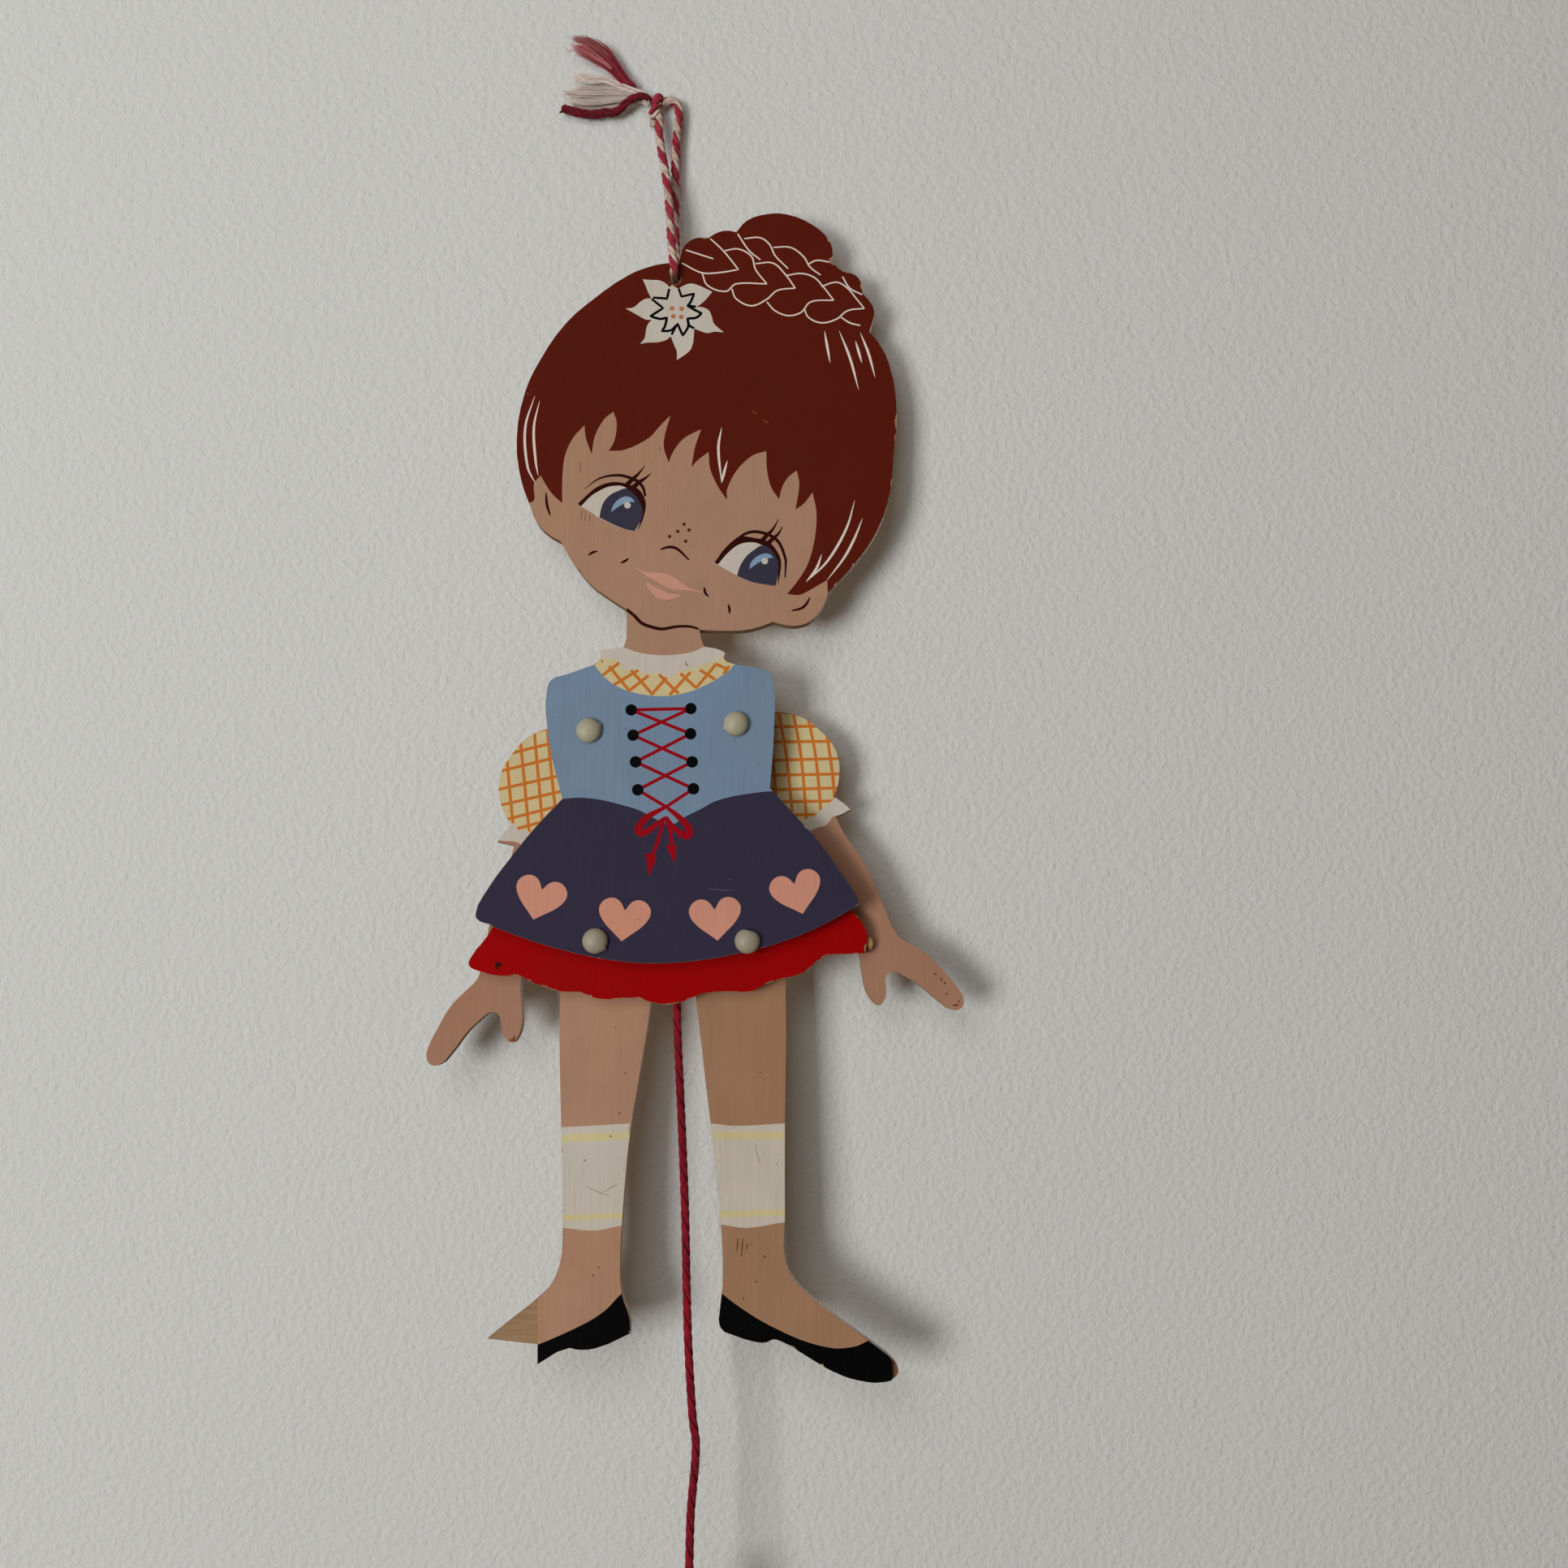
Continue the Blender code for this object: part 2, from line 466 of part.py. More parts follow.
# Hanging loop: from its knot down the front, through the hair's hole, up behind and over the nail.
# Positions between the hole and the nail are shares of the drop.
loop_r = LOOP_CORD_D / 2
bend = loop_r + SEAT_GAP + 0.5 * (LOOP_HOLE_D - LOOP_CORD_D)
front_y = front_face - bend
back_y = front_back + bend
knot_centre = (-loop_r - 1.2 * SEAT_GAP - LOOP_KNOT_D / 2, 0.0, loop_r - 0.4 * LOOP_KNOT_D)
knot_height = 1.25 * LOOP_KNOT_D
front_strand = [(0.10, -0.0031), (0.17, -0.0032), (0.26, -0.0024), (0.50, -0.0002), (0.84, 0.0014)]
back_strand = [(0.80, 0.0021), (0.56, 0.0018), (0.28, 0.0017), (0.14, 0.0022), (0.05, 0.0026)]
bend_steps = [math.radians(angle) for angle in (0, 22.5, 45, 67.5, 90)]
loop_path = []
for share, x in front_strand:
    y = front_y * share
    loop_path.append((x, y, -LOOP_DROP * share))
for angle in bend_steps:
    loop_path.append((LOOP_OFFSET, front_face - bend * math.cos(angle),
                      hole_z + bend * (1 - math.sin(angle))))
for angle in reversed(bend_steps):
    loop_path.append((LOOP_OFFSET, front_back + bend * math.cos(angle),
                      hole_z + bend * (1 - math.sin(angle))))
for share, x in back_strand:
    loop_path.append((x, back_y * share, -LOOP_DROP * share))
over_nail = loop_r + SEAT_GAP
loop_path.append((0.0022, 0, 0.2 * over_nail))
loop_path.append((0.0012, 0, 0.85 * over_nail))
loop_path.append((0.0, 0, over_nail))
loop_path.append((knot_centre[0] + LOOP_KNOT_D / 2 + SEAT_GAP, 0, 0.95 * over_nail))
cord("hanging_loop", loop_path, loop_r, sides=10)
ball("loop_knot", knot_centre, LOOP_KNOT_D, knot_height)

# Loose ends of the loop's cord: plies and tufts that spread from the knot to the left
tuft_unit = LOOP_KNOT_D / 5
root_x, root_z = knot_centre[0], knot_centre[2]
TUFTS = {
    "tassel_white": [(-2.9, 1.4, 1.0), (-6.0, 3.8, 1.2), (-13.8, 5.4, 2.6), (-22.6, 6.2, 3.8),
                     (-29.9, 6.4, 4.2)],
    "tassel_red_upper": [(-7.6, 6.7, 0.9), (-11.9, 11.4, 1.5), (-18.1, 16.4, 2.4), (-27.4, 19.8, 3.0)],
    "tassel_red_lower": [(-3.3, -1.7, 0.8), (-7.5, -1.4, 1.1), (-13.7, -1.9, 1.2), (-21.2, -2.4, 1.2),
                         (-29.3, -0.2, 1.4)],
}
for name, drawing in TUFTS.items():
    path = [(root_x + x * tuft_unit, 0, root_z + z * tuft_unit) for x, z, r in drawing]
    cord(name, path, [r * TUFT_ROOT_D / 2 for x, z, r in drawing], sides=10)
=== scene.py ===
"""Looks of a painted plywood jumping jack, a girl in a dirndl that hangs by a cord loop.

Metres, +Z up; the painted front faces -Y, and left and right are the viewer's.
Drawings of the paint are in millimetres, (x, z) from the top of the hanging loop;
a third number marks a sharp corner.
"""
import json
import math

import bpy
import numpy as np
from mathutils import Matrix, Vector
from mathutils.geometry import delaunay_2d_cdt

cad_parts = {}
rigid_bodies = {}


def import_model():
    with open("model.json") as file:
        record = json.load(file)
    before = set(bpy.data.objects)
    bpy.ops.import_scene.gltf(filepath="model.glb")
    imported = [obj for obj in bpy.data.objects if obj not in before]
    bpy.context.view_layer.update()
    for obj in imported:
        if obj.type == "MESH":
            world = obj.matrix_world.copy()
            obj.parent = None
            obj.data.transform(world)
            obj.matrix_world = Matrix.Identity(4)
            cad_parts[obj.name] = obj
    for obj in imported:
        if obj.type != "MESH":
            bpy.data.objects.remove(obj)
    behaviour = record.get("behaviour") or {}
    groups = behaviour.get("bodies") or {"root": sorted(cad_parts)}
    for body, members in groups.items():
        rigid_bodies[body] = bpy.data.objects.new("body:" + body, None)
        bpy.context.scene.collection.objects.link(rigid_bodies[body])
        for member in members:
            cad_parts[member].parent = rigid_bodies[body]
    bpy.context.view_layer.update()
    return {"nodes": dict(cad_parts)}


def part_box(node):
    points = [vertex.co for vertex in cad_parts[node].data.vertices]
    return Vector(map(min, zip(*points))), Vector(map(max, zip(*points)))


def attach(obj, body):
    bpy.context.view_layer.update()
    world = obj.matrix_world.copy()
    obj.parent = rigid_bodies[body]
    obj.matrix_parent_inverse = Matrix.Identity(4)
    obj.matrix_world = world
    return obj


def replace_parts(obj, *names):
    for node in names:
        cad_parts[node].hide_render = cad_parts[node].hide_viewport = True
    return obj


for old in list(bpy.data.objects):
    bpy.data.objects.remove(old)
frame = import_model()
MM = 0.001

# Wall, light and view.
# The puppet hangs in front of a plain pale wall, its feet further off than its head, in soft daylight
# from a window on the left that stands a little lower than the figure. The wall shows only from the
# front, so that the puppet's back can be seen too.
WALL_AT_TOP = 0.0027
WALL_BEND = -0.083
WALL_LEAN = 0.084
WALL_HALF = 3.0
WALL_COLOUR = (0.565, 0.565, 0.55, 1)
ROLLER_SCALE = 560.0
WINDOW_LIGHT = (0.98, 1.0, 1.0)
ROOM_LIGHT = (1.0, 0.85, 0.72, 1)
ROOM_STRENGTH = 0.155
FIGURE_MIDDLE = Vector((0.005, 0.0, -0.22))
# Each lamp's place, width and height in metres, and its power in watts.
LAMPS = {
    "window": ((-1.26, -1.80, -0.58), 0.75, 0.9, 33.5),
    "open_door": ((-0.30, -0.95, 0.18), 0.65, 0.6, 3.2),
    "behind": ((0.5, 1.4, 0.3), 1.0, 1.0, 14.0)}
VIEW_PLACE = (0.034213, -0.4440, -0.260107)
VIEW_TILT = 97.0
SENSOR = 36.0
PICTURE_PIXELS = 1932
FOCAL_PIXELS = 1933


def plug(tree, value, socket):
    """Link a socket to another node's output, or set it to a plain value."""
    if isinstance(value, bpy.types.NodeSocket):
        tree.links.new(value, socket)
    else:
        socket.default_value = value


def node(tree, kind, inputs=None, **settings):
    """Add a node; inputs maps a socket's name or number to a value or to another node's output."""
    made = tree.nodes.new(kind)
    for key, value in settings.items():
        setattr(made, key, value)
    for key, value in (inputs or {}).items():
        plug(tree, value, made.inputs[key])
    return made


def new_material(name):
    """A new material, its node tree and its surface shader."""
    material = bpy.data.materials.new(name)
    material.use_nodes = True
    tree = material.node_tree
    return material, tree, tree.nodes["Principled BSDF"]


def linked(piece):
    """Put an object into the scene."""
    bpy.context.scene.collection.objects.link(piece)
    return piece


wall_mesh = bpy.data.meshes.new("wall")
wall_z = np.array([-WALL_HALF, WALL_BEND, WALL_HALF])
wall_y = WALL_AT_TOP + np.maximum(WALL_BEND - wall_z, 0) * WALL_LEAN
wall_rows = [(x, y, z) for y, z in zip(wall_y, wall_z) for x in (-WALL_HALF, WALL_HALF)]
wall_mesh.from_pydata(wall_rows, [], [(0, 1, 3, 2), (2, 3, 5, 4)])
wall_mesh.shade_smooth()
wall = linked(bpy.data.objects.new("wall", wall_mesh))
for ray in ("diffuse", "glossy", "shadow", "transmission"):
    setattr(wall, "visible_" + ray, False)
wall_material, tree, shader = new_material("pale_wall")
shader.inputs["Base Color"].default_value = WALL_COLOUR
shader.inputs["Roughness"].default_value = 0.9
shader.inputs["Specular IOR Level"].default_value = 0.1
place = node(tree, "ShaderNodeTexCoord").outputs["Object"]
roller = node(tree, "ShaderNodeTexNoise", {"Vector": place, "Scale": ROLLER_SCALE, "Detail": 2.5})
peel = node(tree, "ShaderNodeBump", {"Height": roller.outputs["Fac"], "Strength": 0.8, "Distance": 0.0007})
plug(tree, peel.outputs["Normal"], shader.inputs["Normal"])
side = node(tree, "ShaderNodeNewGeometry")
clear = node(tree, "ShaderNodeBsdfTransparent")
one_sided = node(tree, "ShaderNodeMixShader", {
    0: side.outputs["Backfacing"], 1: shader.outputs["BSDF"], 2: clear.outputs["BSDF"]})
plug(tree, one_sided.outputs["Shader"], tree.nodes["Material Output"].inputs["Surface"])
wall_mesh.materials.append(wall_material)

world = bpy.data.worlds.new("room")
world.use_nodes = True
world.node_tree.nodes["Background"].inputs["Color"].default_value = ROOM_LIGHT
world.node_tree.nodes["Background"].inputs["Strength"].default_value = ROOM_STRENGTH
bpy.context.scene.world = world

for name, (place, width, height, power) in LAMPS.items():
    lamp_data = bpy.data.lights.new(name, "AREA")
    lamp_data.shape = "RECTANGLE"
    lamp_data.size = width
    lamp_data.size_y = height
    lamp_data.energy = power
    lamp_data.color = WINDOW_LIGHT
    lamp = linked(bpy.data.objects.new(name, lamp_data))
    lamp.location = place
    lamp.rotation_euler = (FIGURE_MIDDLE - lamp.location).to_track_quat("-Z", "Y").to_euler()

camera_data = bpy.data.cameras.new("view")
camera_data.sensor_width = SENSOR
camera_data.lens = SENSOR * FOCAL_PIXELS / PICTURE_PIXELS
camera = linked(bpy.data.objects.new("view", camera_data))
camera.location = VIEW_PLACE
camera.rotation_euler = (math.radians(VIEW_TILT), 0, 0)
bpy.context.scene.camera = camera
bpy.context.scene.view_settings.view_transform = "Standard"

# Plywood plates.
# Six plates, fretsawn from 4 mm three-ply: raw brown edges with the cross-grained core
# between two face veneers, and bare backs with the grain running up and down.
PLY = 0.004
DARK_VENEER = (0.27, 0.155, 0.075, 1)
PALE_VENEER = (0.43, 0.28, 0.15, 1)
DARK_CORE = (0.265, 0.16, 0.083, 1)
PALE_CORE = (0.335, 0.208, 0.112, 1)
GLUE_BROWN = (0.10, 0.055, 0.03, 1)
AGED_BROWN = (0.155, 0.07, 0.03, 1)
PORE_BROWN = (0.12, 0.07, 0.04, 1)
PLATE_AGE = {
    "front_body": 0.5, "petticoat": 0.9, "left_arm": 0.5, "right_arm": 0.5,
    "left_leg": 0.25, "right_leg": 0.5}


def surface_group(name, inputs):
    """A shader node group that puts out a colour, a roughness and a height.

    Its inputs are named, with a kind and a value each. With it come its inputs and its texture
    coordinates, to build on.
    """
    group = bpy.data.node_groups.new(name, "ShaderNodeTree")
    for label, (kind, value) in inputs.items():
        socket = group.interface.new_socket(label, in_out="INPUT", socket_type="NodeSocket" + kind)
        socket.default_value = value
    for label, kind in (("Colour", "Color"), ("Roughness", "Float"), ("Height", "Float")):
        group.interface.new_socket(label, in_out="OUTPUT", socket_type="NodeSocket" + kind)
    return group, node(group, "NodeGroupInput").outputs, node(group, "ShaderNodeTexCoord").outputs


def put_out(group, colour, roughness, height):
    """Send a group's results out of it."""
    node(group, "NodeGroupOutput", {"Colour": colour, "Roughness": roughness, "Height": height})


def worked(tree, operation, *values):
    """A Math node's result."""
    made = tree.nodes.new("ShaderNodeMath")
    made.operation = operation
    for value, socket in zip(values, made.inputs):
        plug(tree, value, socket)
    return made.outputs["Value"]


def mixed(tree, share, first, second, blend="MIX"):
    """Two colours mixed by a share from 0 to 1."""
    made = node(tree, "ShaderNodeMix", {0: share, 6: first, 7: second}, data_type="RGBA", blend_type=blend)
    return made.outputs[2]


def noise(tree, place, stretch, detail):
    """Noise from 0 to 1 whose lumps measure about 1 / stretch metres along each axis."""
    spread = node(tree, "ShaderNodeMapping", {"Vector": place, "Scale": stretch})
    settings = {"Vector": spread.outputs["Vector"], "Scale": 1.0, "Detail": detail}
    return node(tree, "ShaderNodeTexNoise", settings).outputs["Fac"]


def ranged(tree, value, low, high, to_low=0.0, to_high=1.0):
    """A value mapped smoothly from one range to another, and held at its ends."""
    made = node(tree, "ShaderNodeMapRange", {
        "Value": value, "From Min": low, "From Max": high, "To Min": to_low, "To Max": to_high},
        interpolation_type="SMOOTHSTEP")
    return made.outputs["Result"]


three_ply, entry, coordinates = surface_group("three_ply", {
    "Front": ("Float", 0.0), "Age": ("Float", 0.5)})
place = coordinates["Object"]
across = node(three_ply, "ShaderNodeSeparateXYZ", {0: place}).outputs["Y"]
depth = worked(three_ply, "DIVIDE", worked(three_ply, "SUBTRACT", across, entry["Front"]), PLY)
from_middle = worked(three_ply, "ABSOLUTE", worked(three_ply, "SUBTRACT", depth, 0.5))
core = ranged(three_ply, from_middle, 0.25, 0.21)
from_glue = worked(three_ply, "ABSOLUTE", worked(three_ply, "SUBTRACT", from_middle, 0.23))
glue = ranged(three_ply, from_glue, 0.035, 0.0)
fibre = noise(three_ply, place, (1700, 300, 45), 4.0)
pores = noise(three_ply, place, (4200, 900, 160), 2.0)
cross_grain = noise(three_ply, place, (60, 900, 1300), 4.0)
stain = noise(three_ply, place, (38, 38, 22), 4.0)
veneer = mixed(three_ply, ranged(three_ply, fibre, 0.3, 0.7), DARK_VENEER, PALE_VENEER)
core_wood = mixed(three_ply, ranged(three_ply, cross_grain, 0.3, 0.7), DARK_CORE, PALE_CORE)
bare = mixed(three_ply, core, veneer, core_wood)
bare = mixed(three_ply, worked(three_ply, "MULTIPLY", glue, 0.55), bare, GLUE_BROWN)
least = worked(three_ply, "MULTIPLY", entry["Age"], 0.35)
aged = ranged(three_ply, stain, 0.35, 0.75, least, entry["Age"])
bare = mixed(three_ply, aged, bare, AGED_BROWN)
bare = mixed(three_ply, ranged(three_ply, pores, 0.62, 0.75, 0.0, 0.5), bare, PORE_BROWN)
put_out(three_ply, bare, ranged(three_ply, fibre, 0.2, 0.8, 0.62, 0.82),
        worked(three_ply, "ADD", fibre, worked(three_ply, "MULTIPLY", pores, 0.6)))


def dressed(name, group, values, strength, depth, specular):
    """A material made of one group: its colour, roughness and height drive the surface shader.

    The values go to the group's inputs; strength and depth are those of the relief.
    """
    material, tree, shader = new_material(name)
    effect = node(tree, "ShaderNodeGroup", values, node_tree=group).outputs
    settings = {"Height": effect["Height"], "Strength": strength, "Distance": depth}
    relief = node(tree, "ShaderNodeBump", settings)
    plug(tree, effect["Colour"], shader.inputs["Base Color"])
    plug(tree, effect["Roughness"], shader.inputs["Roughness"])
    plug(tree, relief.outputs["Normal"], shader.inputs["Normal"])
    shader.inputs["Specular IOR Level"].default_value = specular
    return material


def plywood(name, front, age):
    """Bare three-ply whose front face lies at y = front."""
    return dressed(name, three_ply, {"Front": front, "Age": age}, 0.35, 0.0002, 0.2)


plate_front = {}
for plate, age in PLATE_AGE.items():
    plate_front[plate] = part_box(plate)[0].y
    plate_mesh = frame["nodes"][plate].data
    plate_mesh.materials.clear()
    plate_mesh.materials.append(plywood(plate + "_ply", plate_front[plate], age))

# Paint on the front plate.
# The face, hair, blouse, bodice and skirt are printed in flat satin inks, one film to an ink,
# side by side on the sanded plywood; the films have chipped along the sawn edge.
FILM = 0.06
FILM_ROOT = 0.02
EDGE_STEP = 0.4
EDGE_INSET = 0.04
CHIP_REACH = (0.35, 1.5)
CHIP_DEPTH = (0.10, 0.50)
LEAST_WIDTH = 0.04
SKIN = (160, 123, 101)
HAIR = (83, 23, 11)
INK_WHITE = (187, 178, 167)
LINE_BROWN = (44, 9, 6)
INK_BLACK = (3, 3, 4)
INK_ORANGE = (188, 107, 40)
STAMEN = (169, 110, 78)
EYE_CREAM = (187, 178, 166)
IRIS = (53, 50, 66)
BLUE = (110, 130, 153)
LIGHT_BLUE = (124, 146, 171)
LIPS = (191, 138, 119)
PINK = (192, 134, 114)
CREAM = (194, 178, 135)
LACE_RED = (138, 6, 20)
SKIRT = (49, 44, 63)
HAIR_LIGHT = (208, 195, 186)
FRECKLE = (72, 34, 22)
SMUDGE = (132, 96, 76)
BARE_SPOT = (112, 60, 38)
SCRATCH = (92, 86, 98)
HAIRLINE_BROWN = (0.16, 0.10, 0.065, 1)
YELLOWED = (0.97, 0.86, 0.66, 1)
SPECK_BROWN = (0.05, 0.03, 0.02, 1)


def tint(red, green, blue):
    """A colour of 0 to 255 as the linear colour that shaders use."""
    share = np.array((red, green, blue)) / 255
    linear = np.where(share <= 0.04045, share / 12.92, ((share + 0.055) / 1.055) ** 2.4)
    return (*linear.tolist(), 1)


old_paint, entry, coordinates = surface_group("old_paint", {
    "Paint": ("Color", (1, 1, 1, 1)), "Grain": ("Float", 1.0), "Dirt": ("Float", 1.0)})
place = coordinates["Object"]
fibre = noise(old_paint, place, (1500, 300, 55), 4.0)
hairline = noise(old_paint, place, (3800, 300, 130), 2.0)
mottle = noise(old_paint, place, (90, 90, 60), 4.0)
speck = noise(old_paint, place, (1100, 1100, 800), 1.0)
fading = noise(old_paint, place, (24, 24, 16), 2.0)
lift = worked(old_paint, "MULTIPLY", ranged(old_paint, fibre, 0.25, 0.75, -0.035, 0.035), entry["Grain"])
cloud = ranged(old_paint, mottle, 0.3, 0.7, -0.035, 0.035)
level = worked(old_paint, "ADD", worked(old_paint, "ADD", lift, cloud), 1.0)
shade = node(old_paint, "ShaderNodeVectorMath", {0: entry["Paint"], "Scale": level}, operation="SCALE")
line_share = ranged(old_paint, hairline, 0.62, 0.74, 0.0, 0.07)
line_share = worked(old_paint, "MULTIPLY", line_share, entry["Grain"])
lined = mixed(old_paint, line_share, shade.outputs["Vector"], HAIRLINE_BROWN)
yellowing = ranged(old_paint, fading, 0.35, 0.65, 0.0, 0.2)
tired = mixed(old_paint, yellowing, lined, YELLOWED, "MULTIPLY")
speck_share = ranged(old_paint, speck, 0.775, 0.82, 0.0, 0.55)
speck_share = worked(old_paint, "MULTIPLY", speck_share, entry["Dirt"])
dirty = mixed(old_paint, speck_share, tired, SPECK_BROWN)
put_out(old_paint, dirty, ranged(old_paint, mottle, 0.25, 0.75, 0.48, 0.66),
        worked(old_paint, "ADD", fibre, worked(old_paint, "MULTIPLY", hairline, 0.5)))


def ink(name, colour, grain=1.0, dirt=1.0):
    """A satin paint through which the wood's grain shows."""
    values = {"Paint": tint(*colour), "Grain": grain, "Dirt": dirt}
    return dressed(name, old_paint, values, 0.22, 0.00015, 0.03)


def face_outlines(node_name):
    """Outlines of a plate's front face in millimetres, the longest first.

    The face's triangles lie at the plate's least y. An edge that only one of them has is on an
    outline, and following such edges from corner to corner gives each outline in turn.
    """
    mesh = frame["nodes"][node_name].data
    corners = np.empty(len(mesh.vertices) * 3)
    mesh.vertices.foreach_get("co", corners)
    corners = corners.reshape(-1, 3) / MM
    sides = np.empty(len(mesh.loops), dtype=np.int32)
    mesh.loops.foreach_get("vertex_index", sides)
    places, same = np.unique(np.round(corners, 3), axis=0, return_inverse=True)
    triangles = same.ravel()[sides].reshape(-1, 3)
    front = np.all(np.abs(places[triangles, 1] - places[:, 1].min()) < 0.005, axis=1)
    edges = directed_border(triangles[front])
    following = dict(edges.tolist())
    outlines = []
    while following:
        start, step = following.popitem()
        chain = [start]
        while step != start:
            chain.append(step)
            step = following.pop(step)
        outlines.append(places[chain][:, [0, 2]])
    return sorted(outlines, key=round_length, reverse=True)


def round_length(outline):
    """Length of a closed outline."""
    return np.linalg.norm(outline - np.roll(outline, 1, axis=0), axis=1).sum()


def directed_border(triangles):
    """Edges of a patch of triangles that have no neighbour, each in its triangle's own direction."""
    edges = np.concatenate([triangles[:, [0, 1]], triangles[:, [1, 2]], triangles[:, [2, 0]]])
    span = edges.max() + 1
    there = edges[:, 0] * span + edges[:, 1]
    back = edges[:, 1] * span + edges[:, 0]
    return edges[~np.isin(there, back)]


def run_along(line):
    """How far along a line each of its places lies."""
    return np.concatenate([[0], np.cumsum(np.linalg.norm(np.diff(line, axis=0), axis=1))])


def unit(vectors):
    """Vectors brought to a length of one."""
    return vectors / np.maximum(np.linalg.norm(vectors, axis=-1, keepdims=True), 1e-9)


def full_turn(count):
    """Angles spaced evenly round a circle."""
    return np.linspace(0, 2 * np.pi, count, endpoint=False)


def worn_edge(outline, seed, chips, spots=()):
    """The paint's edge: the sawn outline drawn in by a hair, and further at chips.

    Every chip is a parabola of depth around a spot (x, z, reach, depth); chance spots are
    spread along the outline, and the rest are given. The outline is followed in short steps.
    """
    chance = np.random.default_rng(seed)
    ring = np.vstack([outline, outline[:1]])
    run = run_along(ring)
    stops = np.unique(np.concatenate([run[:-1], np.arange(0, run[-1], EDGE_STEP)]))
    line = np.stack([np.interp(stops, run, ring[:, 0]), np.interp(stops, run, ring[:, 1])], axis=1)
    ahead = np.roll(line, -1, axis=0) - np.roll(line, 1, axis=0)
    inward = unit(np.stack([-ahead[:, 1], ahead[:, 0]], axis=1))
    picked = line[chance.integers(0, len(line), chips)]
    reach = chance.uniform(*CHIP_REACH, chips)
    bite = chance.uniform(*CHIP_DEPTH, chips) * chance.uniform(0.3, 1.0, chips)
    marks = np.column_stack([picked, reach, bite])
    if len(spots):
        marks = np.vstack([marks, spots])
    away = np.linalg.norm(line[:, None] - marks[None, :, :2], axis=2) / marks[:, 2]
    drawn_in = (np.clip(1 - away ** 2, 0, 1) * marks[:, 3]).max(axis=1)
    fray = chance.uniform(0.5, 1.5, len(line))
    return line + inward * (EDGE_INSET + drawn_in * fray)[:, None]


def hermite(knots, sharp, closed, steps):
    """Hermite cubics through knots.

    A plain knot's direction is that of the chord between its neighbours, as long as the stretch it
    leads into; a sharp one aims straight at each neighbour.
    """
    ahead = np.roll(knots, -1, axis=0)
    behind = np.roll(knots, 1, axis=0)
    if not closed:
        ahead[-1] = 2 * knots[-1] - knots[-2]
        behind[0] = 2 * knots[0] - knots[1]
    out_length = np.linalg.norm(ahead - knots, axis=1, keepdims=True)
    in_length = np.linalg.norm(knots - behind, axis=1, keepdims=True)
    chord = unit(ahead - behind)
    leaving = np.where(sharp, ahead - knots, chord * out_length)
    arriving = np.roll(np.where(sharp, knots - behind, chord * in_length), -1, axis=0)
    t = np.linspace(0, 1, steps, endpoint=False)[:, None, None]
    curve = ((2 * t**3 - 3 * t**2 + 1) * knots + (t**3 - 2 * t**2 + t) * leaving
             + (3 * t**2 - 2 * t**3) * ahead + (t**3 - t**2) * arriving)
    curve = curve.transpose(1, 0, 2)
    if closed:
        return curve.reshape(-1, knots.shape[1])
    return np.vstack([curve[:-1].reshape(-1, knots.shape[1]), knots[-1:]])


def smooth_line(points, closed=False):
    """A smooth curve through points (x, z), sharp at points (x, z, 1)."""
    knots = np.array([p[:2] for p in points], dtype=float)
    sharp = np.array([[len(p) > 2] for p in points])
    return hermite(knots, sharp, closed, steps=6)


def brush_line(points, widths):
    """A painted line as a closed outline.

    The centre line is smooth_line; half the width is set off on both sides, and the width follows
    the parabola through its values at the start, the middle and the end.
    """
    line = smooth_line(points)
    along = np.gradient(line, axis=0)
    across = unit(np.stack([-along[:, 1], along[:, 0]], axis=1))
    t = np.linspace(0, 1, len(line))
    start, middle, end = widths
    width = start * (1 - t) * (1 - 2 * t) + middle * 4 * t * (1 - t) + end * t * (2 * t - 1)
    half = across * np.maximum(width, LEAST_WIDTH)[:, None] / 2
    return np.vstack([line + half, (line - half)[::-1]])


def dot(centre, radius, count=20):
    """A round spot."""
    turn = full_turn(count)
    return np.stack([centre[0] + radius * np.cos(turn), centre[1] + radius * np.sin(turn)], axis=1)


def held(spots, outline):
    """Which spots an outline winds round, by counting its signed crossings of a ray from each spot."""
    start = outline[:, None]
    end = np.roll(outline, -1, axis=0)[:, None]
    within = []
    for some in np.array_split(spots, 1 + spots.size * len(outline) // 4000000):
        side = ((end[..., 0] - start[..., 0]) * (some[:, 1] - start[..., 1])
                - (some[:, 0] - start[..., 0]) * (end[..., 1] - start[..., 1]))
        rising = (start[..., 1] <= some[:, 1]) & (end[..., 1] > some[:, 1]) & (side > 0)
        falling = (start[..., 1] > some[:, 1]) & (end[..., 1] <= some[:, 1]) & (side < 0)
        within.append(rising.sum(axis=0) != falling.sum(axis=0))
    return np.concatenate(within)


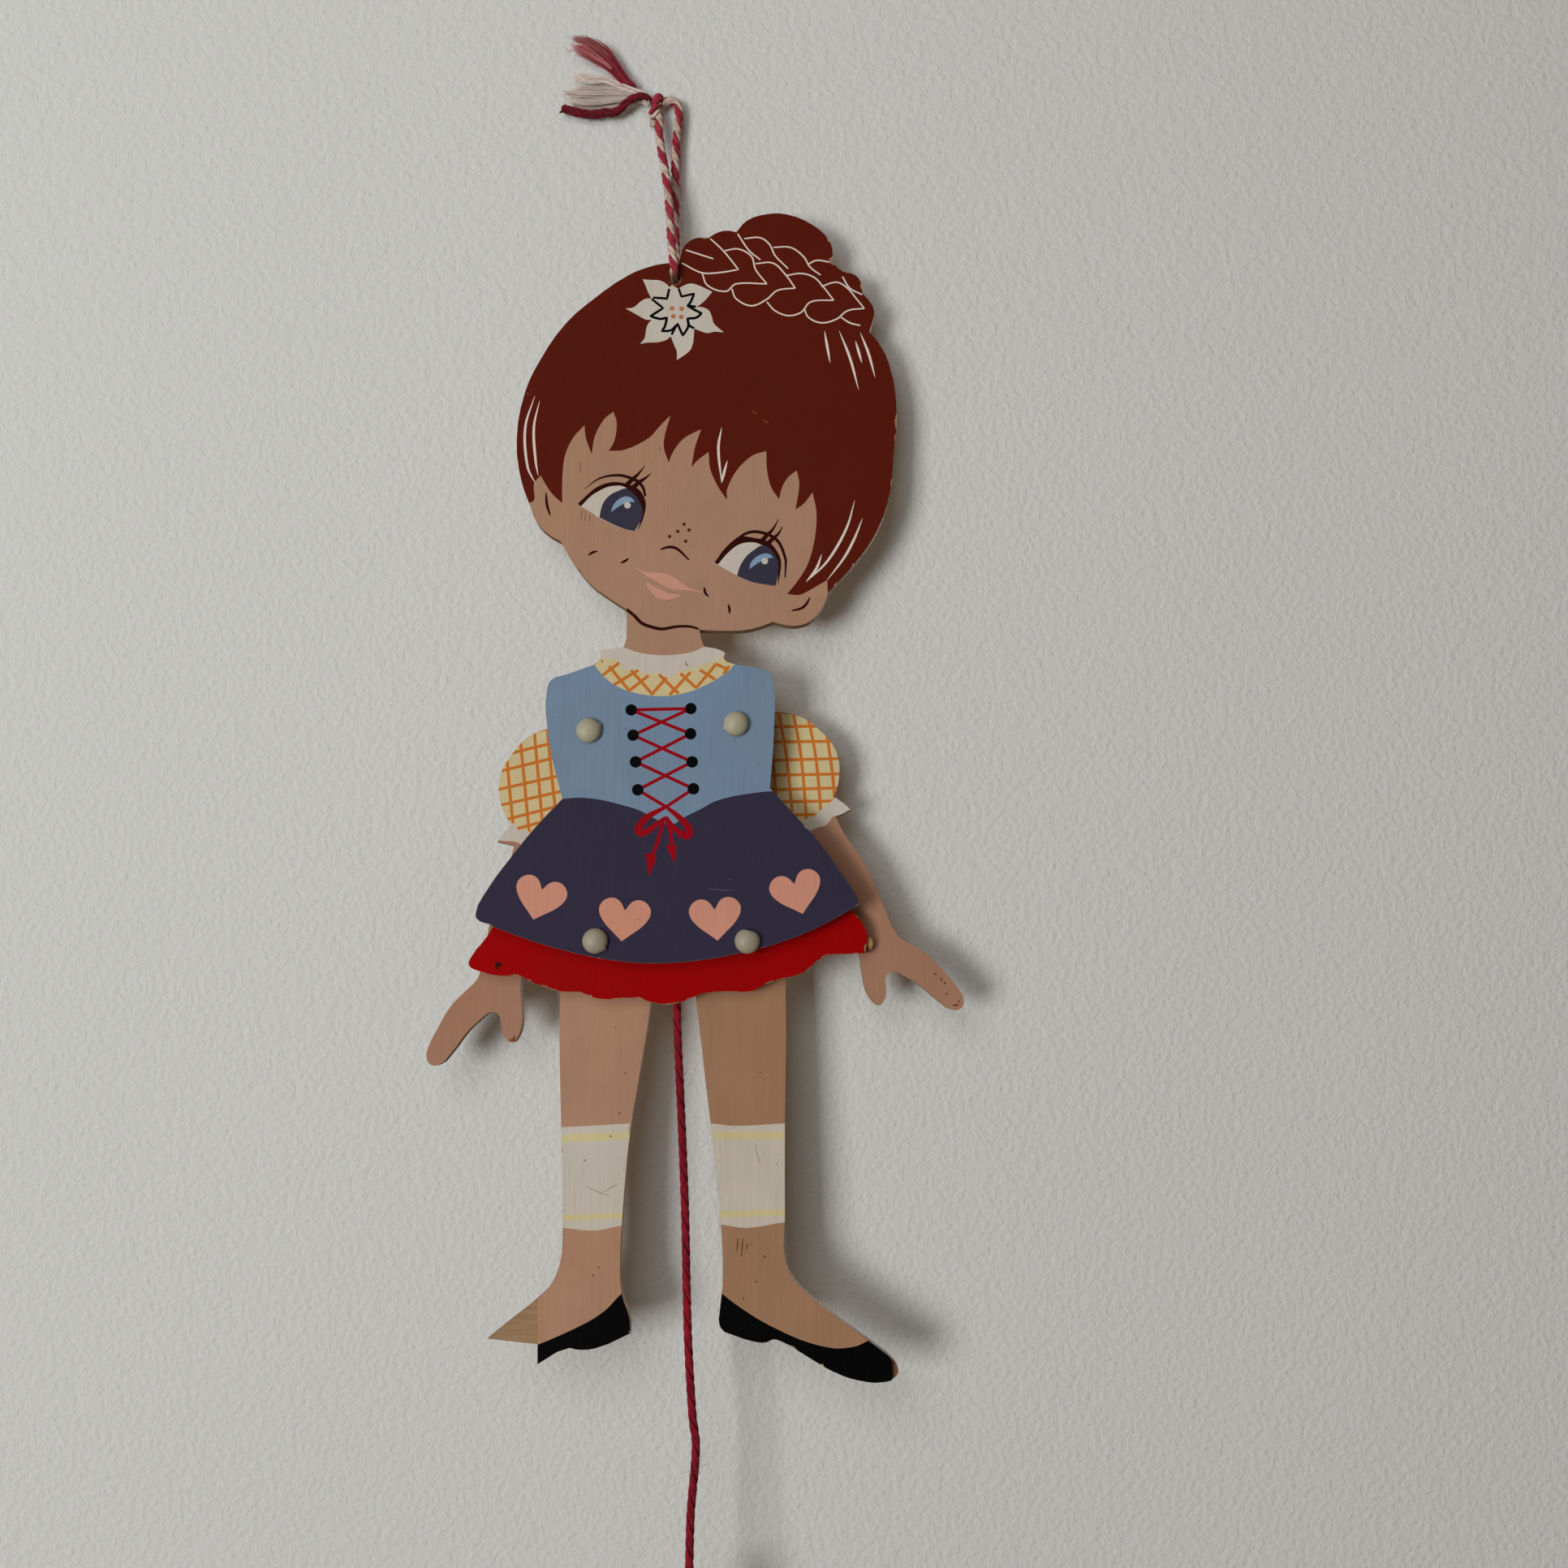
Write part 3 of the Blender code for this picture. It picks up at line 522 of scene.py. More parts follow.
def split_by_ink(base, edge, layers, holes):
    """Cut a painted face into patches of triangles, one for each ink.

    The sides of all the outlines go into one constrained triangulation. A triangle takes the ink of
    the last outline that holds its middle; outside the paint's edge and inside a hole there is none.
    """
    outlines = [edge] + [outline for name, outline in layers] + list(holes)
    inks = [base] + [name for name, outline in layers] + [""] * len(holes)
    counts = np.cumsum([0] + [len(outline) for outline in outlines])
    sides = [(k, k + 1 if k + 1 < last else first)
             for first, last in zip(counts.tolist(), counts[1:].tolist()) for k in range(first, last)]
    corners = [Vector(corner) for corner in np.vstack(outlines).tolist()]
    places, _, triangles, _, _, _ = delaunay_2d_cdt(corners, sides, [], 0, 1e-5)
    places = np.array([tuple(p) for p in places])
    triangles = np.array(triangles)
    middles = places[triangles].mean(axis=1)
    top = np.full(len(triangles), -1)
    for k, outline in enumerate(outlines):
        top[held(middles, outline)] = k
    top[~held(middles, edge)] = -1
    patches = {}
    for name in dict.fromkeys(inks):
        chosen = np.isin(top, [k for k, one in enumerate(inks) if one == name])
        if name and chosen.any():
            patches[name] = (places, triangles[chosen])
    return patches


def paint_film(name, patch, front, body, material):
    """A closed film of paint.

    The patch lies just in front of the face and again just inside it, with a wall round its border.
    """
    places, triangles = patch
    used, local = np.unique(triangles, return_inverse=True)
    triangles = local.reshape(-1, 3)
    count = len(used)
    flat = places[used]
    outer = np.column_stack([flat[:, 0], np.full(count, front / MM - FILM), flat[:, 1]])
    inner = np.column_stack([flat[:, 0], np.full(count, front / MM + FILM_ROOT), flat[:, 1]])
    border = directed_border(triangles)
    walls = np.column_stack([border[:, 1], border[:, 0], border[:, 0] + count, border[:, 1] + count])
    faces = triangles.tolist() + (triangles[:, ::-1] + count).tolist() + walls.tolist()
    mesh = bpy.data.meshes.new(name)
    mesh.from_pydata((np.vstack([outer, inner]) * MM).tolist(), [], faces)
    mesh.materials.append(material)
    film = linked(bpy.data.objects.new(name, mesh))
    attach(film, body)


def painted(plate, body, base, wear, layers, inks, prefix=""):
    """Paint a plate's face, one film to an ink.

    The wear is that of the paint's edge: the seed, the count and the given spots of its chips.
    """
    edge, *holes = face_outlines(plate)
    for name, patch in split_by_ink(base, worn_edge(edge, *wear), layers, holes).items():
        paint_film(prefix + name, patch, plate_front[plate], body, inks[name])


def filled(*drawings):
    """Outlines of painted areas."""
    return [smooth_line(drawing, closed=True) for drawing in drawings]


def brushed(drawings, *widths):
    """Outlines of painted lines that share their widths at the start, the middle and the end."""
    return [brush_line(drawing, widths) for drawing in drawings]


def stacked(*coats):
    """Layers of paint in the order that they go on, from coats (ink, outlines)."""
    return [(name, outline) for name, outlines in coats for outline in outlines]


FRINGE = [
    (-60, -126, 1), (-38.2, -125.0), (-37.6, -119.5), (-35.8, -117.1, 1), (-32.7, -122.1),
    (-29.4, -125.3, 1), (-29.5, -118.3), (-28.9, -111.3), (-26.7, -106.0), (-23.4, -102.1, 1),
    (-22.9, -106.0), (-21.2, -110.8, 1), (-20.3, -105.2), (-17.8, -100.4), (-15.1, -98.0, 1),
    (-14.1, -101.4), (-14.7, -106.7), (-16.3, -109.8, 1), (-11.6, -109.4), (-4.9, -106.0),
    (-1.4, -102.1), (1.4, -99.2, 1), (-0.2, -105.2), (-0.4, -108.9), (1.0, -113.2, 1), (2.4, -109.8),
    (5.4, -106.0), (10.3, -103.3, 1), (8.5, -108.9), (7.6, -114.7, 1), (9.2, -112.7), (12.5, -110.1, 1),
    (13.0, -115.2), (15.3, -120.5), (17.9, -124.3, 1), (17.9, -121.2), (20.4, -115.9), (24.9, -111.3),
    (29.1, -109.8, 1), (29.3, -115.2), (30.5, -120.5), (32.8, -124.1, 1), (33.7, -120.5),
    (35.4, -117.6), (37.9, -115.6, 1), (38.6, -119.7), (37.5, -127.2, 1), (39.8, -125.5),
    (42.4, -122.1, 1), (43.5, -128.1), (43.0, -135.8), (41.2, -142.7), (38.6, -147.4),
    (35.1, -151.9, 1), (38.6, -152.2), (42.1, -150.5), (46.5, -147.9, 1), (46.7, -152.2, 1),
    (80, -153, 1), (80, -20, 1), (-60, -20, 1)]
FLOWER = [
    (1.5, -59.6, 1), (3.4, -60.9, 1), (4.4, -60.1), (6.8, -59.2), (9.1, -59.7), (13.3, -61.7, 1),
    (11.2, -64.3), (9.3, -66.0), (8.6, -66.3, 1), (10.6, -66.5), (12.3, -67.4), (13.2, -69.4),
    (13.8, -71.4), (16.7, -74.1, 1), (14.0, -73.9), (11.9, -74.3), (9.6, -73.6), (8.1, -72.9, 1),
    (8.0, -74.9), (7.7, -77.6), (6.7, -79.8), (3.1, -82.5, 1), (3.1, -80.0), (2.3, -78.0),
    (1.3, -75.3, 1), (-0.1, -76.4), (-2.6, -77.1), (-5.3, -77.2), (-7.6, -77.6, 1), (-6.3, -75.8),
    (-5.9, -73.2), (-5.4, -71.6), (-4.3, -70.3, 1), (-6.0, -70.2), (-8.2, -69.0), (-10.1, -67.9),
    (-12.0, -66.8, 1), (-9.7, -66.5), (-7.6, -64.7), (-5.9, -63.8), (-4.5, -63.8, 1), (-5.5, -61.7),
    (-6.1, -60.1), (-7.1, -57.9, 1), (-4.7, -58.1), (-2.4, -58.2), (-0.7, -58.9), (0.9, -60.3, 1)]
FLOWER_STAR = [
    [(0.7, -60.8, 1), (0.1, -63.8, 1), (-4.0, -63.5, 1)],
    [
        (-4.4, -63.9, 1), (-1.0, -66.7, 1), (-4.7, -69.2, 1), (-1.8, -70.0), (0.1, -69.6, 1),
        (-0.4, -72.1), (-1.3, -73.7, 1), (1.2, -73.5), (2.7, -72.1, 1)],
    [
        (1.5, -74.8, 1), (3.2, -71.4, 1), (4.8, -75.1, 1), (6.4, -72.1), (6.1, -69.9, 1), (8.7, -69.6),
        (10.2, -68.3, 1), (7.9, -67.1), (6.1, -66.0, 1), (6.9, -65.0), (8.0, -62.3, 1), (4.3, -63.2, 1),
        (3.5, -60.8, 1)],
    [(6.1, -69.9, 1), (6.6, -71.9), (8.1, -72.9, 1)], [(6.1, -66.0, 1), (8.6, -66.3, 1)]]
STAMENS = [(1.6, -66.8), (4.4, -66.9), (2.0, -69.2), (4.3, -69.4)]
BRAID = [
    [(4.3, -52.9), (10.2, -55.9), (15.6, -55.8), (20.9, -54.9, 1), (16.4, -49.1), (12.6, -45.4)],
    [(5.5, -48.9), (13.5, -51.6)],
    [(16.9, -49.1), (20.9, -48.6), (24.7, -50.9), (25.9, -54.9), (29.2, -59.3)],
    [(10.3, -56.1), (11.9, -59.8), (17.2, -61.6), (20.2, -59.3), (29.2, -59.3)],
    [(20.6, -43.9), (24.0, -49.1), (27.3, -51.9)],
    [(22.6, -45.4), (27.1, -45.1), (29.9, -47.1), (31.6, -50.6), (35.4, -54.6)],
    [(25.9, -53.1), (30.9, -52.9), (34.2, -55.9), (37.5, -60.6)],
    [(19.0, -60.8), (20.2, -63.8), (24.7, -66.0), (29.2, -64.0), (32.3, -61.3), (37.5, -60.6)],
    [(31.1, -48.1), (36.1, -48.1), (39.9, -50.9), (41.8, -54.1), (44.9, -56.6)],
    [(34.7, -56.8), (39.2, -56.1), (43.0, -57.3), (45.6, -60.1), (48.7, -64.3)],
    [(29.2, -64.8), (31.6, -67.5), (35.4, -69.0), (39.2, -68.0), (42.0, -64.8), (48.7, -64.3)],
    [(41.1, -53.4), (43.7, -52.1), (47.5, -52.6)],
    [(45.1, -60.1), (49.6, -58.8), (52.7, -60.6), (55.3, -63.8), (57.6, -66.8)],
    [(40.1, -66.8), (41.3, -69.5), (45.1, -71.2), (49.6, -70.0), (52.7, -67.5), (57.6, -66.8)],
    [(51.3, -57.1), (53.4, -60.6), (57.0, -62.6)], [(50.8, -69.5), (53.4, -71.2), (56.4, -72.0)]]
HAIR_LIGHTS = [
    [(46.0, -73.7), (46.8, -78.6), (47.6, -83.3)], [(50.3, -73.7), (53.4, -82.0), (55.8, -91.4)],
    [(55.0, -76.7), (55.9, -80.0), (56.8, -83.3)], [(56.4, -74.2), (58.8, -80.6), (60.6, -87.7)],
    [(-37.9, -93.3), (-40.5, -102.8), (-39.6, -114.4), (-37.2, -119.5)],
    [(-36.5, -94.8), (-38.0, -102.8), (-37.3, -112.7), (-36.5, -117.1)],
    [(16.2, -102.8), (15.3, -108.9), (16.3, -119.3)], [(17.9, -112.7), (16.9, -116.5), (16.3, -119.3)],
    [(54.5, -124.5), (52.1, -132.7), (46.7, -142.2), (40.5, -148.4)],
    [(45.0, -140.3), (43.4, -144.6), (40.5, -148.4)],
    [(56.7, -129.8), (54.4, -135.6), (51.4, -141.3), (46.5, -147.9)]]
LEFT_LID = [
    (-25.0, -125.5, 1), (-22.4, -122.9), (-20.0, -120.8), (-17.3, -119.5), (-14.8, -119.0),
    (-12.4, -119.2), (-9.9, -119.9), (-7.5, -121.2), (-6.1, -123.1), (-5.4, -125.7), (-5.8, -128.6),
    (-6.7, -131.4), (-7.8, -133.8, 1), (-6.9, -130.5), (-6.3, -128.1), (-6.6, -126.4), (-7.6, -124.2),
    (-9.1, -122.3), (-10.8, -121.0), (-12.1, -120.3), (-13.7, -120.1), (-16.4, -120.5), (-18.6, -121.5),
    (-21.2, -123.2), (-24.0, -126.2, 1)]
RIGHT_LID = [
    (14.4, -142.7, 1), (16.8, -139.2), (19.3, -136.6), (21.7, -135.0), (24.0, -135.2), (26.3, -135.6),
    (28.4, -136.0), (30.5, -137.2), (32.1, -139.2), (33.2, -141.5), (33.4, -143.6), (33.1, -146.1),
    (32.5, -149.8, 1), (32.5, -146.1), (32.6, -143.7), (32.3, -141.9), (31.3, -140.1), (29.9, -138.4),
    (27.9, -137.6), (25.9, -136.9), (23.3, -136.9), (21.1, -137.6), (19.3, -138.9), (17.3, -140.9),
    (15.4, -143.3, 1)]
LEFT_EYE = [
    (-24.5, -126.0, 1), (-21.3, -122.6), (-17.3, -119.7), (-12.4, -119.5), (-9.2, -121.2),
    (-6.5, -130.1, 1), (-8.3, -133.4, 1), (-12.3, -132.6), (-15.5, -131.3), (-18.6, -129.7),
    (-21.4, -127.8)]
RIGHT_EYE = [
    (15.0, -143.2, 1), (17.3, -140.6), (21.0, -137.2), (25.9, -136.5), (29.8, -137.9),
    (32.4, -142.0, 1), (31.9, -149.6, 1), (29.1, -149.2), (25.8, -148.6), (23.0, -147.6),
    (20.8, -146.5), (18.2, -145.1)]
LEFT_IRIS = [
    (-18.7, -129.5, 1), (-18.3, -127.2), (-17.5, -124.9), (-15.9, -123.0), (-13.8, -121.8),
    (-10.8, -120.9), (-7.7, -123.1), (-6.3, -126.5), (-6.7, -130.1), (-8.5, -133.5, 1), (-11.3, -132.9),
    (-14.8, -131.5)]
RIGHT_IRIS = [
    (20.8, -146.6, 1), (21.7, -143.7), (23.3, -141.1), (25.4, -139.2), (28.1, -137.7), (30.7, -139.1),
    (32.5, -142.0), (32.6, -145.8), (31.8, -149.6, 1), (29.1, -149.2), (25.8, -148.6), (23.0, -147.6)]
LEFT_GLINT = [
    (-15.4, -127.9, 1), (-14.9, -126.2), (-13.9, -124.7), (-12.4, -123.6), (-10.9, -123.3),
    (-9.5, -123.8), (-8.5, -125.0, 1), (-9.7, -124.9), (-11.4, -125.4), (-12.8, -126.0),
    (-14.3, -127.1)]
RIGHT_GLINT = [
    (24.3, -144.7, 1), (24.8, -142.7), (26.3, -141.1), (28.2, -140.2), (29.9, -140.2),
    (31.2, -141.2, 1), (29.7, -141.6), (27.6, -142.4), (26.0, -143.4)]
GLINT_DOTS = [(-10.7, -125.9), (28.7, -142.3)]
BROWN_LINES = [
    (
        [
            (-23.1, -121.1), (-18.7, -117.9), (-13.4, -117.0), (-9.7, -117.9), (-7.5, -119.1),
            (-6.2, -120.9), (-5.6, -123.3)],
        (0.15, 0.95, 0.6)),
    ([(-11.3, -120.2), (-9.2, -118.1), (-7.6, -116.5), (-5.8, -114.1)], (1.5, 0.95, 0.15)),
    ([(-9.2, -120.7), (-7.3, -119.0), (-5.7, -117.9), (-3.9, -116.3)], (1.5, 0.95, 0.15)),
    (
        [
            (18.7, -137.7), (21.7, -135.2), (23.6, -134.1), (26.3, -133.7), (30.3, -134.8),
            (32.9, -137.1), (34.6, -141.6), (34.7, -143.7), (34.5, -147.2)],
        (0.5, 0.95, 0.35)),
    ([(27.2, -137.2), (29.3, -134.8), (31.0, -133.0), (32.7, -129.9)], (1.5, 0.95, 0.15)),
    ([(29.1, -137.7), (31.0, -135.8), (32.5, -134.4), (33.9, -132.0)], (1.5, 0.95, 0.15)),
    ([(-1.1, -138.9), (1.3, -138.2), (3.6, -138.7), (7.1, -142.0)], (0.45, 0.85, 0.4)),
    ([(-21.7, -140.6), (-20.5, -139.8), (-19.1, -139.4)], (0.3, 0.75, 0.25)),
    ([(-12.4, -142.9), (-11.2, -142.3), (-10.1, -141.5)], (0.35, 0.75, 0.3)),
    ([(11.5, -150.0), (11.8, -151.6), (12.7, -152.7)], (0.45, 0.75, 0.3)),
    ([(18.3, -155.0), (18.7, -156.3), (18.7, -157.6)], (0.4, 0.75, 0.35)),
    (
        [
            (-10.6, -156.4), (-8.5, -158.1), (-6.2, -160.4), (-3.1, -161.6), (-0.4, -162.1),
            (3.8, -161.4), (7.5, -161.4), (10.0, -162.1)],
        (0.9, 0.95, 0.6)),
    ([(-34.1, -122.1), (-33.8, -125.6), (-32.8, -128.9)], (0.3, 0.8, 0.35)),
    ([(36.4, -156.8), (39.1, -156.1), (40.6, -154.8), (41.6, -152.9)], (0.4, 0.8, 0.35))]
FRECKLES = [(5.6, -131.5), (7.0, -133.2), (3.8, -133.6), (1.5, -135.1), (6.1, -136.5)]
UPPER_LIP = [
    (-9.4, -143.4, 1), (-5.9, -145.3), (-0.5, -145.8), (3.0, -147.2), (6.2, -149.6), (11.1, -151.5, 1),
    (6.2, -150.8), (1.6, -150.3), (-2.8, -147.9), (-6.6, -145.5)]
LOWER_LIP = [
    (-5.1, -148.4, 1), (-2.1, -150.0), (1.4, -151.7), (4.9, -152.2, 1), (3.2, -153.1), (0.9, -153.6),
    (-2.1, -152.9), (-4.2, -150.8)]
COLLAR = [
    (-30, -166.5, 1), (-11.4, -167.5), (-7.7, -168.7), (-4.2, -169.4), (0.2, -169.7), (4.6, -169.4),
    (8.4, -168.7), (11.8, -167.2), (30, -164, 1), (30, -170.5, 1), (17.1, -170.0), (14.6, -171.2),
    (12.8, -171.9), (10.8, -172.5), (9.3, -173.4), (7.0, -173.9), (4.6, -174.3), (2.9, -175.6),
    (0.6, -175.8), (-1.2, -174.8), (-3.3, -175.0), (-5.9, -174.8), (-7.7, -173.6), (-9.7, -173.9),
    (-11.5, -173.3), (-12.7, -171.6), (-15.0, -170.7), (-17.8, -170.3), (-30, -170.3, 1)]
BLOUSE = [
    (-30, -170.0, 1), (30, -170.0, 1), (20.3, -172.2, 1), (18.7, -174.0), (14.9, -176.7), (9.4, -179.5),
    (4.7, -180.9), (0.3, -181.4), (-3.5, -181.3), (-9.4, -180.1), (-13.8, -178.2), (-17.0, -175.5),
    (-19.7, -172.2, 1)]
LATTICE = [
    ((-12.1, -171.6), (-17.2, -175.5)), ((-15.4, -172.8), (-9.4, -180.0)),
    ((-6.9, -173.9), (-13.9, -178.2)), ((-9.1, -174.0), (-2.8, -181.1)),
    ((-4.1, -175.5), (-9.4, -179.8)), ((-1.2, -175.2), (4.4, -180.7)), ((1.0, -176.1), (-3.2, -181.0)),
    ((7.7, -174.6), (1.9, -181.1)), ((4.9, -174.9), (9.4, -179.1)), ((15.0, -172.2), (9.4, -179.1)),
    ((10.4, -173.9), (14.8, -176.7)), ((14.9, -172.2), (18.1, -173.7)),
    ((18.7, -172.8), (17.1, -175.1))]
WAIST = [
    (-60, -210.6, 1), (-27.9, -210.6), (-22.9, -210.3), (-16.7, -211.0), (-10.4, -212.6),
    (-7.0, -213.6), (-3.9, -215.1), (-1.1, -216.6), (3.7, -217.7, 1), (5.9, -216.1), (8.5, -214.7),
    (11.3, -213.3), (14.5, -211.5), (19.2, -210.1), (24.2, -209.2), (30.8, -208.5), (60, -208.5, 1)]
EYELETS_LEFT = [(-8.9, -185.4), (-8.3, -192.6), (-7.5, -200.2), (-6.8, -208.1)]
EYELETS_RIGHT = [(7.9, -185.0), (7.9, -192.2), (8.4, -200.2), (8.8, -207.8)]
EYELET_R = 1.65
LACE_WIDTH = 0.95
BOW_KNOT = (1.2, -212.9)
BOW_LOOPS = [
    [
        BOW_KNOT, (4.0, -215.1), (6.3, -217.2), (7.5, -219.0), (7.8, -220.4), (6.9, -221.1),
        (5.2, -220.3), (3.3, -218.7), (1.2, -215.8)],
    [
        BOW_KNOT, (-1.7, -214.4), (-4.2, -215.9), (-6.1, -218.1), (-6.6, -219.5), (-5.8, -220.3),
        (-3.9, -219.7), (-1.7, -218.0), (1.2, -215.8)]]
BOW_TAILS = [
    [(0.9, -215.9), (-0.1, -218.8), (-0.9, -222.0), (-2.4, -226.3)],
    [(1.4, -215.9), (2.0, -218.1), (2.6, -221.1), (2.8, -224.0)]]
BOW_TIPS = [
    [(-4.6, -226.0, 1), (-2.4, -226.1), (-1.3, -227.0, 1), (-3.3, -232.5, 1)],
    [(1.1, -223.7, 1), (2.8, -223.9), (4.3, -223.5, 1), (3.7, -228.8, 1)]]
SMUDGES = [
    [(-22.6, -127.4), (-22.8, -131.0)], [(-23.7, -126.6), (-23.9, -130.4)],
    [(-21.4, -128.6), (-21.5, -130.8)], [(-24.3, -112.5), (-24.5, -116.5)],
    [(-1.9, -108.5), (-1.5, -109.2), (-1.8, -110.1)], [(-17.6, -170.9), (-17.1, -171.9)],
    [(6.4, -171.4), (6.5, -172.4), (7.2, -172.7)]]
HAIR_DENTS = [
    [(24.8, -97.5), (25.6, -98.2), (26.5, -98.9)], [(28.1, -100.5), (28.9, -101.0), (29.8, -101.4)],
    [(-40.3, -92.3), (-39.7, -93.1)]]
HOLE_WEAR = (2.4, -57.85)
HOLE_WEAR_R = 2.0
STAMEN_R = 0.72
GLINT_R = 0.95
FRECKLE_R = 0.52
SKIRT_SCRATCHES = [
    [(12.9, -235.7), (16.5, -236.2), (20.3, -236.3)], [(18.8, -233.1), (19.5, -233.3)],
    [(0.7, -216.7), (0.9, -217.8)]]
HEAD_CHIPS = [
    (-17.0, -57.5, 1.3, 0.7), (-22.5, -61.5, 0.8, 0.5), (46.2, -46.5, 1.6, 0.9),
    (48.3, -52.2, 1.4, 0.9), (58.6, -66.2, 1.2, 0.7), (57.5, -60.0, 1.2, 0.6), (66.4, -101.0, 2.6, 0.5),
    (64.2, -119.0, 1.5, 0.45), (-46.8, -93.0, 1.6, 0.6), (54.9, -241.5, 1.4, 0.25),
    (-20.0, -172.0, 0.9, 0.35)]
HEART_WIDTH = 14.6
HEART_HEIGHT = 11.9
HEARTS = [
    ((-35.4, -244.4), -15.2), ((-10.8, -250.4), -5.5), ((15.8, -250.2), 5.5), ((39.4, -242.8), 15.2)]
HEART_SIDE = [
    (0.16, 0.17), (0.34, 0.36), (0.47, 0.58), (0.49, 0.77), (0.40, 0.93), (0.26, 0.99), (0.12, 0.93)]
HEART_NOTCH = 0.72


def heart(tip, lean):
    """A heart on its tip, leaning counter-clockwise by some degrees; its sides mirror each other."""
    right = [(0, 0, 1)] + HEART_SIDE + [(0, HEART_NOTCH, 1)]
    left = [(-x, z) for x, z in reversed(HEART_SIDE)]
    outline = smooth_line(right + left, closed=True) * (HEART_WIDTH, HEART_HEIGHT)
    turn = math.radians(lean)
    spin = np.array([[math.cos(turn), math.sin(turn)], [-math.sin(turn), math.cos(turn)]])
    return outline @ spin + tip


lace_ends = [(EYELETS_LEFT[0], EYELETS_RIGHT[0])]
for row in range(3):
    lace_ends += [(EYELETS_LEFT[row], EYELETS_RIGHT[row + 1]), (EYELETS_RIGHT[row], EYELETS_LEFT[row + 1])]
lace_ends += [(EYELETS_LEFT[-1], BOW_KNOT), (EYELETS_RIGHT[-1], BOW_KNOT)]
laces = brushed(lace_ends, LACE_WIDTH, LACE_WIDTH, LACE_WIDTH)
bow = brushed(BOW_LOOPS, 0.9, 2.1, 0.9) + brushed(BOW_TAILS, 1.2, 1.1, 1.1) + filled(*BOW_TIPS)
face_lines = filled(LEFT_LID, RIGHT_LID) + [brush_line(line, widths) for line, widths in BROWN_LINES]
# An area that reaches the plate's edge is drawn past it, and a later coat covers an earlier one.
layers = stacked(
    ("skirt", filled(WAIST + [(70, -300, 1), (-70, -300, 1)])),
    ("bodice", filled(WAIST + [(60, -172.2, 1)] + BLOUSE[2:] + [(-60, -172.2, 1)])),
    ("blouse", filled(BLOUSE)),
    ("blouse_lattice", brushed(LATTICE, 0.85, 0.9, 0.85)),
    ("collar", filled(COLLAR)),
    ("hair", filled(FRINGE)),
    ("hair_lights", brushed(BRAID, 0.4, 0.45, 0.4) + brushed(HAIR_LIGHTS, 0.1, 0.74, 0.1)),
    ("flower", filled(FLOWER)),
    ("flower_star", brushed(FLOWER_STAR, 0.7, 0.8, 0.7)),
    ("stamens", [dot(centre, STAMEN_R) for centre in STAMENS]),
    ("eye_whites", filled(LEFT_EYE, RIGHT_EYE)),
    ("irises", filled(LEFT_IRIS, RIGHT_IRIS)),
    ("glints", filled(LEFT_GLINT, RIGHT_GLINT)),
    ("eye_whites", [dot(centre, GLINT_R) for centre in GLINT_DOTS]),
    ("lips", filled(UPPER_LIP, LOWER_LIP)),
    ("face_lines", face_lines),
    ("freckles", [dot(centre, FRECKLE_R, 12) for centre in FRECKLES]),
    ("laces", laces + bow),
    ("eyelets", [dot(centre, EYELET_R, 28) for centre in EYELETS_LEFT + EYELETS_RIGHT]),
    ("hearts", [heart(tip, lean) for tip, lean in HEARTS]),
    ("smudges", brushed(SMUDGES, 0.1, 0.4, 0.1)),
    ("dents", brushed(HAIR_DENTS, 0.12, 0.44, 0.15) + [dot(HOLE_WEAR, HOLE_WEAR_R)]),
    ("scratches", brushed(SKIRT_SCRATCHES, 0.08, 0.2, 0.08)))
front_inks = {
    "face_skin": ink("skin_paint", SKIN), "hair": ink("hair_paint", HAIR, 0.5),
    "hair_lights": ink("hair_light_paint", HAIR_LIGHT), "flower": ink("flower_paint", INK_WHITE, 1.2),
    "flower_star": ink("star_paint", INK_BLACK, 0.4), "stamens": ink("stamen_paint", STAMEN, 0.6),
    "eye_whites": ink("eye_paint", EYE_CREAM, 1.3), "irises": ink("iris_paint", IRIS, 0.6),
    "glints": ink("glint_paint", LIGHT_BLUE, 0.6), "lips": ink("lip_paint", LIPS, 0.6),
    "face_lines": ink("line_paint", LINE_BROWN, 0.4), "collar": ink("collar_paint", INK_WHITE, 1.5, 1.2),
    "blouse": ink("blouse_paint", CREAM, 0.8), "blouse_lattice": ink("lattice_paint", INK_ORANGE, 0.6),
    "bodice": ink("bodice_paint", BLUE, 1.3), "eyelets": ink("eyelet_paint", INK_BLACK, 0.3),
    "laces": ink("lace_paint", LACE_RED, 0.5), "skirt": ink("skirt_paint", SKIRT),
    "hearts": ink("heart_paint", PINK, 0.9, 1.3), "freckles": ink("freckle_paint", FRECKLE, 0.5),
    "smudges": ink("smudge_stain", SMUDGE, 0.8), "dents": ink("dent_stain", BARE_SPOT, 0.8),
    "scratches": ink("scratch_pale", SCRATCH, 0.8)}
painted("front_body", "puppet", "face_skin", (3, 14, HEAD_CHIPS), layers, front_inks)

